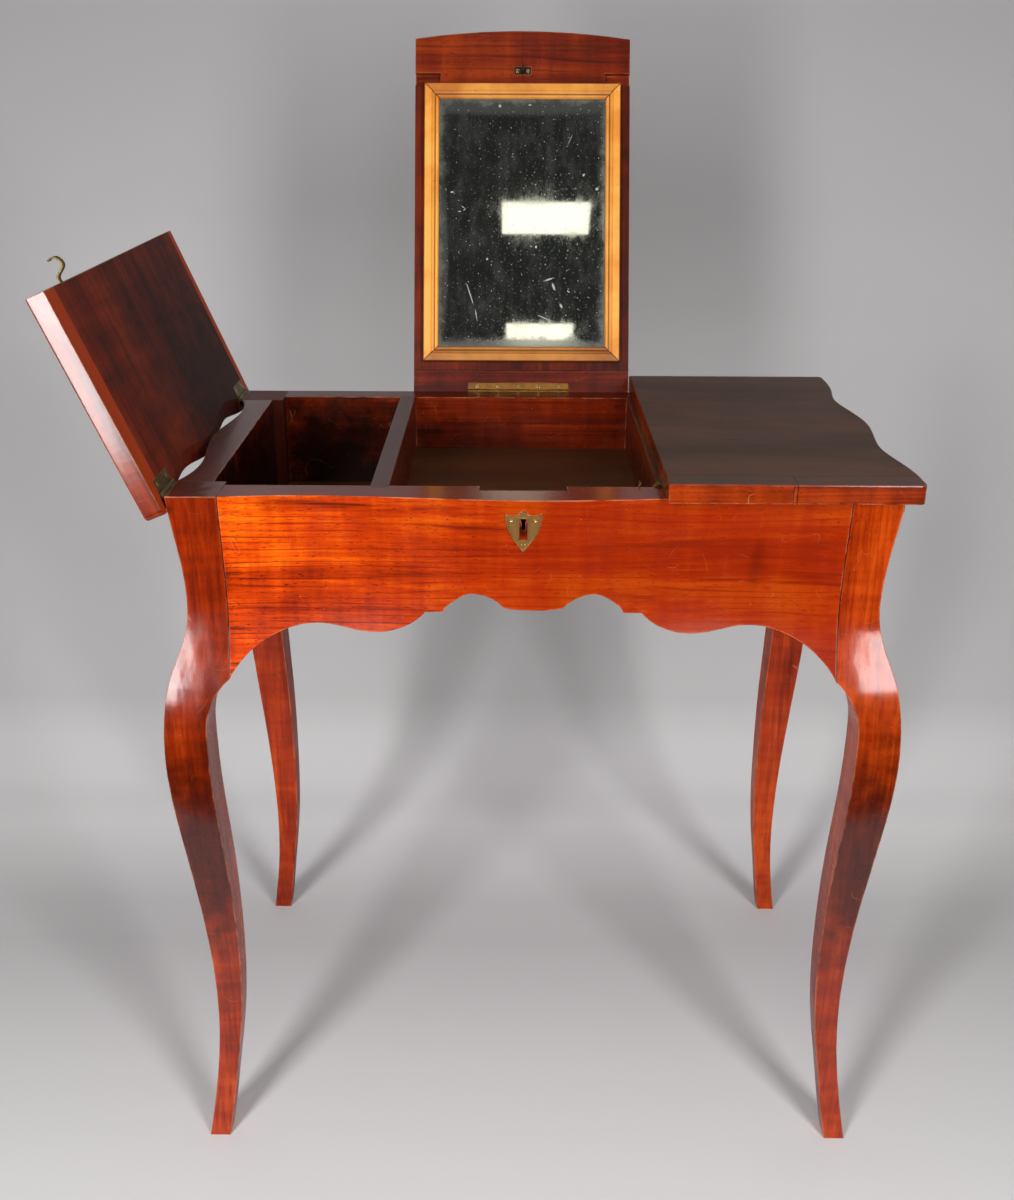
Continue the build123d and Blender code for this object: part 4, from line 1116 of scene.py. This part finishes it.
@dataclass
class Studio:
    """Seamless paper, two softboxes with a reflector, and the ceiling lamps of a dark room.

    Attributes:
        paper: Colour of the paper at each distance along it, from its line on the floor at Y 0 back
        and up; painted light and shade: a painted shadow under the table, a painted highlight where it bends.
        room: Colour of the dark room.
        haze: Colour of the background where there is no paper.
        glow: Colour of the ceiling lamps.
        glow_strength: How bright they are.
        front_y: Where the paper ends on the floor.
        wall_y: Where the paper hangs.
        sweep: Radius of the bend between floor and wall.
        sweep_steps: How many faces the bend has.
        top: Height of the paper's roll.
        half_width: Half the paper's width.
        ceiling: Height of the ceiling.
        lamps: The softboxes, and the reflector that stands low beside the left one.
        panels: Left, right, front and rear of each ceiling lamp.
    """

    # Painted light and shade on the paper: a painted shadow under and just behind the table, a painted
    # highlight where the floor turns up into the bend.
    paper: tuple[tuple[float, str], ...] = (
        (-0.37, "#ebe9ea"), (-0.17, "#e0dedf"), (0.04, "#cfcdce"), (0.13, "#d5d3d4"), (0.22, "#e8e6e7"),
        (0.33, "#faf8f9"), (0.46, "#f9f7f8"), (0.58, "#eeeced"), (0.70, "#d9d7d8"), (0.90, "#d2d0d1"),
        (1.24, "#c8c6c7"), (1.48, "#c5c3c4"), (1.68, "#b7b5b6"), (1.97, "#aba9aa"),
    )
    room: str = "#1e1e1f"
    haze: str = "#a4a2a3"
    glow: str = "#fff8ea"
    glow_strength: float = 7.5
    front_y: float = -0.75
    wall_y: float = 0.82
    sweep: float = 0.42
    sweep_steps: int = 16
    top: float = 3.2
    half_width: float = 2.6
    ceiling: float = 2.6
    lamps: list[Softbox] = field(default_factory=lambda: [
        Softbox("left_softbox", (-0.95, -1.95, 1.34), (-0.1, 0.0, 1.34), (0.44, 1.5), 39.0),
        Softbox("left_reflector", (-0.93, -1.95, 0.44), (-0.33, 0.0, 0.55), (0.26, 0.34), 5.0),
        Softbox("right_softbox", (1.05, -1.95, 1.34), (0.1, 0.0, 1.34), (0.54, 1.5), 38.0),
    ])
    panels: tuple[tuple[float, float, float, float], ...] = (
        (-0.015, 0.262, -1.953, -1.798), (-0.002, 0.238, -2.557, -2.450), (-0.06, 0.12, -0.95, -0.55))

    def build(self) -> None:
        """Hang the paper and the lamps and set the world."""
        self._hang_paper()
        self._light_ceiling()
        for lamp in self.lamps:
            lamp.hang()
        self._paint_room()

    def _paint_room(self) -> None:
        """Keep the room near black, and paper grey to the eye and in gloss that looks the other way."""
        world = bpy.data.worlds.new("studio_room")
        bpy.context.scene.world = world
        world.use_nodes = True
        world.node_tree.nodes.clear()
        add = partial(add_node, world.node_tree)
        ray = add("LightPath")
        way = add("SeparateXYZ", add("TexCoord").outputs["Generated"])
        behind = add("MapRange", way.outputs["Y"], 0.0, 0.15)
        gloss = add("Math.MAXIMUM", ray.outputs["Is Glossy Ray"], ray.outputs["Is Transmission Ray"])
        gloss = add("Math.MULTIPLY", gloss, behind)
        seen = add("Math.MAXIMUM", gloss, ray.outputs["Is Camera Ray"])
        sky = add("Background", add("Mix.RGBA", seen, self.room, self.haze), 1.0)
        add("OutputWorld", sky)

    def _place(self, name: str, points: Sequence[Triple], faces: Sequence[tuple[int, ...]],
               material: bpy.types.Material) -> None:
        """Stage one mesh of the studio.

        Args:
            name: What it is.
            points: Its corners.
            faces: The corners of each of its faces.
            material: Its finish.
        """
        mesh = bpy.data.meshes.new(name)
        mesh.from_pydata(points, [], faces)
        mesh.polygons.foreach_set("use_smooth", [len(faces) > 1] * len(faces))
        mesh.materials.append(material)
        thing = bpy.data.objects.new(name, mesh)
        bpy.context.scene.collection.objects.link(thing)

    def _hang_paper(self) -> None:
        """Hang floor, bend and wall in one sheet, which is clear from behind."""
        material, add = blank("matt_grey_paper")
        place = add("SeparateXYZ", add("TexCoord").outputs["Object"])
        along = add("Math.ADD", place.outputs["Y"], place.outputs["Z"])
        first, last = self.paper[0][0], self.paper[-1][0]
        along = add("MapRange", along, first, last)
        colour = add("ValToRGB", along, stops=[((distance - first) / (last - first), colour)
                                               for distance, colour in self.paper])
        shader = add("BsdfPrincipled", sockets={"Base Color": colour, "Roughness": 0.9,
                                                "Specular IOR Level": 0.1})
        behind = add("NewGeometry").outputs["Backfacing"]
        add("OutputMaterial", add("MixShader", behind, shader, add("BsdfTransparent")))
        bend_y = self.wall_y - self.sweep
        line = [(self.front_y, 0.0), (bend_y, 0.0)]
        for step in range(1, self.sweep_steps + 1):
            turn = math.radians(90 * step / self.sweep_steps)
            line.append((bend_y + self.sweep * math.sin(turn), self.sweep - self.sweep * math.cos(turn)))
        line.append((self.wall_y, self.top))
        self._place("studio_paper", [(x, y, z) for y, z in line for x in (-self.half_width, self.half_width)],
                    [(2 * n, 2 * n + 1, 2 * n + 3, 2 * n + 2) for n in range(len(line) - 1)], material)

    def _light_ceiling(self) -> None:
        """Set flat lamps in the dark ceiling, which the looking-glass picks up."""
        material, add = blank("ceiling_lamp_diffuser")
        add("OutputMaterial", add("Emission", self.glow, self.glow_strength))
        for number, (left, right, front, rear) in enumerate(self.panels):
            corners = ((left, front), (left, rear), (right, rear), (right, front))
            self._place(f"ceiling_lamp_{number}", [(x, y, self.ceiling) for x, y in corners], [(0, 1, 2, 3)],
                        material)


@dataclass(frozen=True)
class Camera:
    """The camera, on its stand in front of the table.

    Attributes:
        place: Its optical centre.
        pitch: How far it looks down, in degrees.
        yaw: How far it looks to the right, in degrees.
        roll: How far it leans, in degrees.
        focal_px: Focal length in pixels of a picture as high as picture_px.
        picture_px: Height of that picture.
        sensor_mm: Height of the sensor.
        clip: Nearest and farthest distance it sees.
    """

    place: Triple = (0.01636, -1.38612, 1.08760)
    pitch: float = 22.502
    yaw: float = -0.1458
    roll: float = 0.2410
    focal_px: float = 1290.63
    picture_px: int = 1200
    sensor_mm: float = 36.0
    clip: tuple[float, float] = (0.05, 50.0)

    def set_up(self) -> None:
        """Add the camera and make it the scene's."""
        data = bpy.data.cameras.new("camera")
        data.sensor_width = self.sensor_mm
        data.lens = self.focal_px * self.sensor_mm / self.picture_px
        data.clip_start, data.clip_end = self.clip
        pitch, yaw, roll = (math.radians(a) for a in (self.pitch, self.yaw, self.roll))
        turn = (Matrix.Rotation(-yaw, 4, "Z") @ Matrix.Rotation(math.pi / 2 - pitch, 4, "X")
                @ Matrix.Rotation(roll, 4, "Z"))
        camera = bpy.data.objects.new("camera", data)
        camera.matrix_world = Matrix.Translation(self.place) @ turn
        bpy.context.scene.collection.objects.link(camera)
        bpy.context.scene.camera = camera


def main() -> None:
    """Dress every sub-assembly, then build the studio around it."""
    logging.basicConfig(level=logging.INFO, format="%(message)s")
    bpy.context.scene.view_settings.view_transform = "Standard"
    Camera().set_up()
    Studio().build()
    Case().dress()
    SideLid("left", Rest.LEFT_LID, ("_lid_front_edging", "_lid_rear_edging")).dress()
    SideLid("right", Rest.FIXED,
            ("_lid_front_edging_inner", "_lid_front_edging_outer", "_lid_rear_edging"),
            joints=(CASE_CENTRE.x + 0.228, CASE_CENTRE.x + 0.2315)).dress()
    LookingGlassPanel().dress()
    Fittings().dress()


if __name__ == "__main__":
    main()
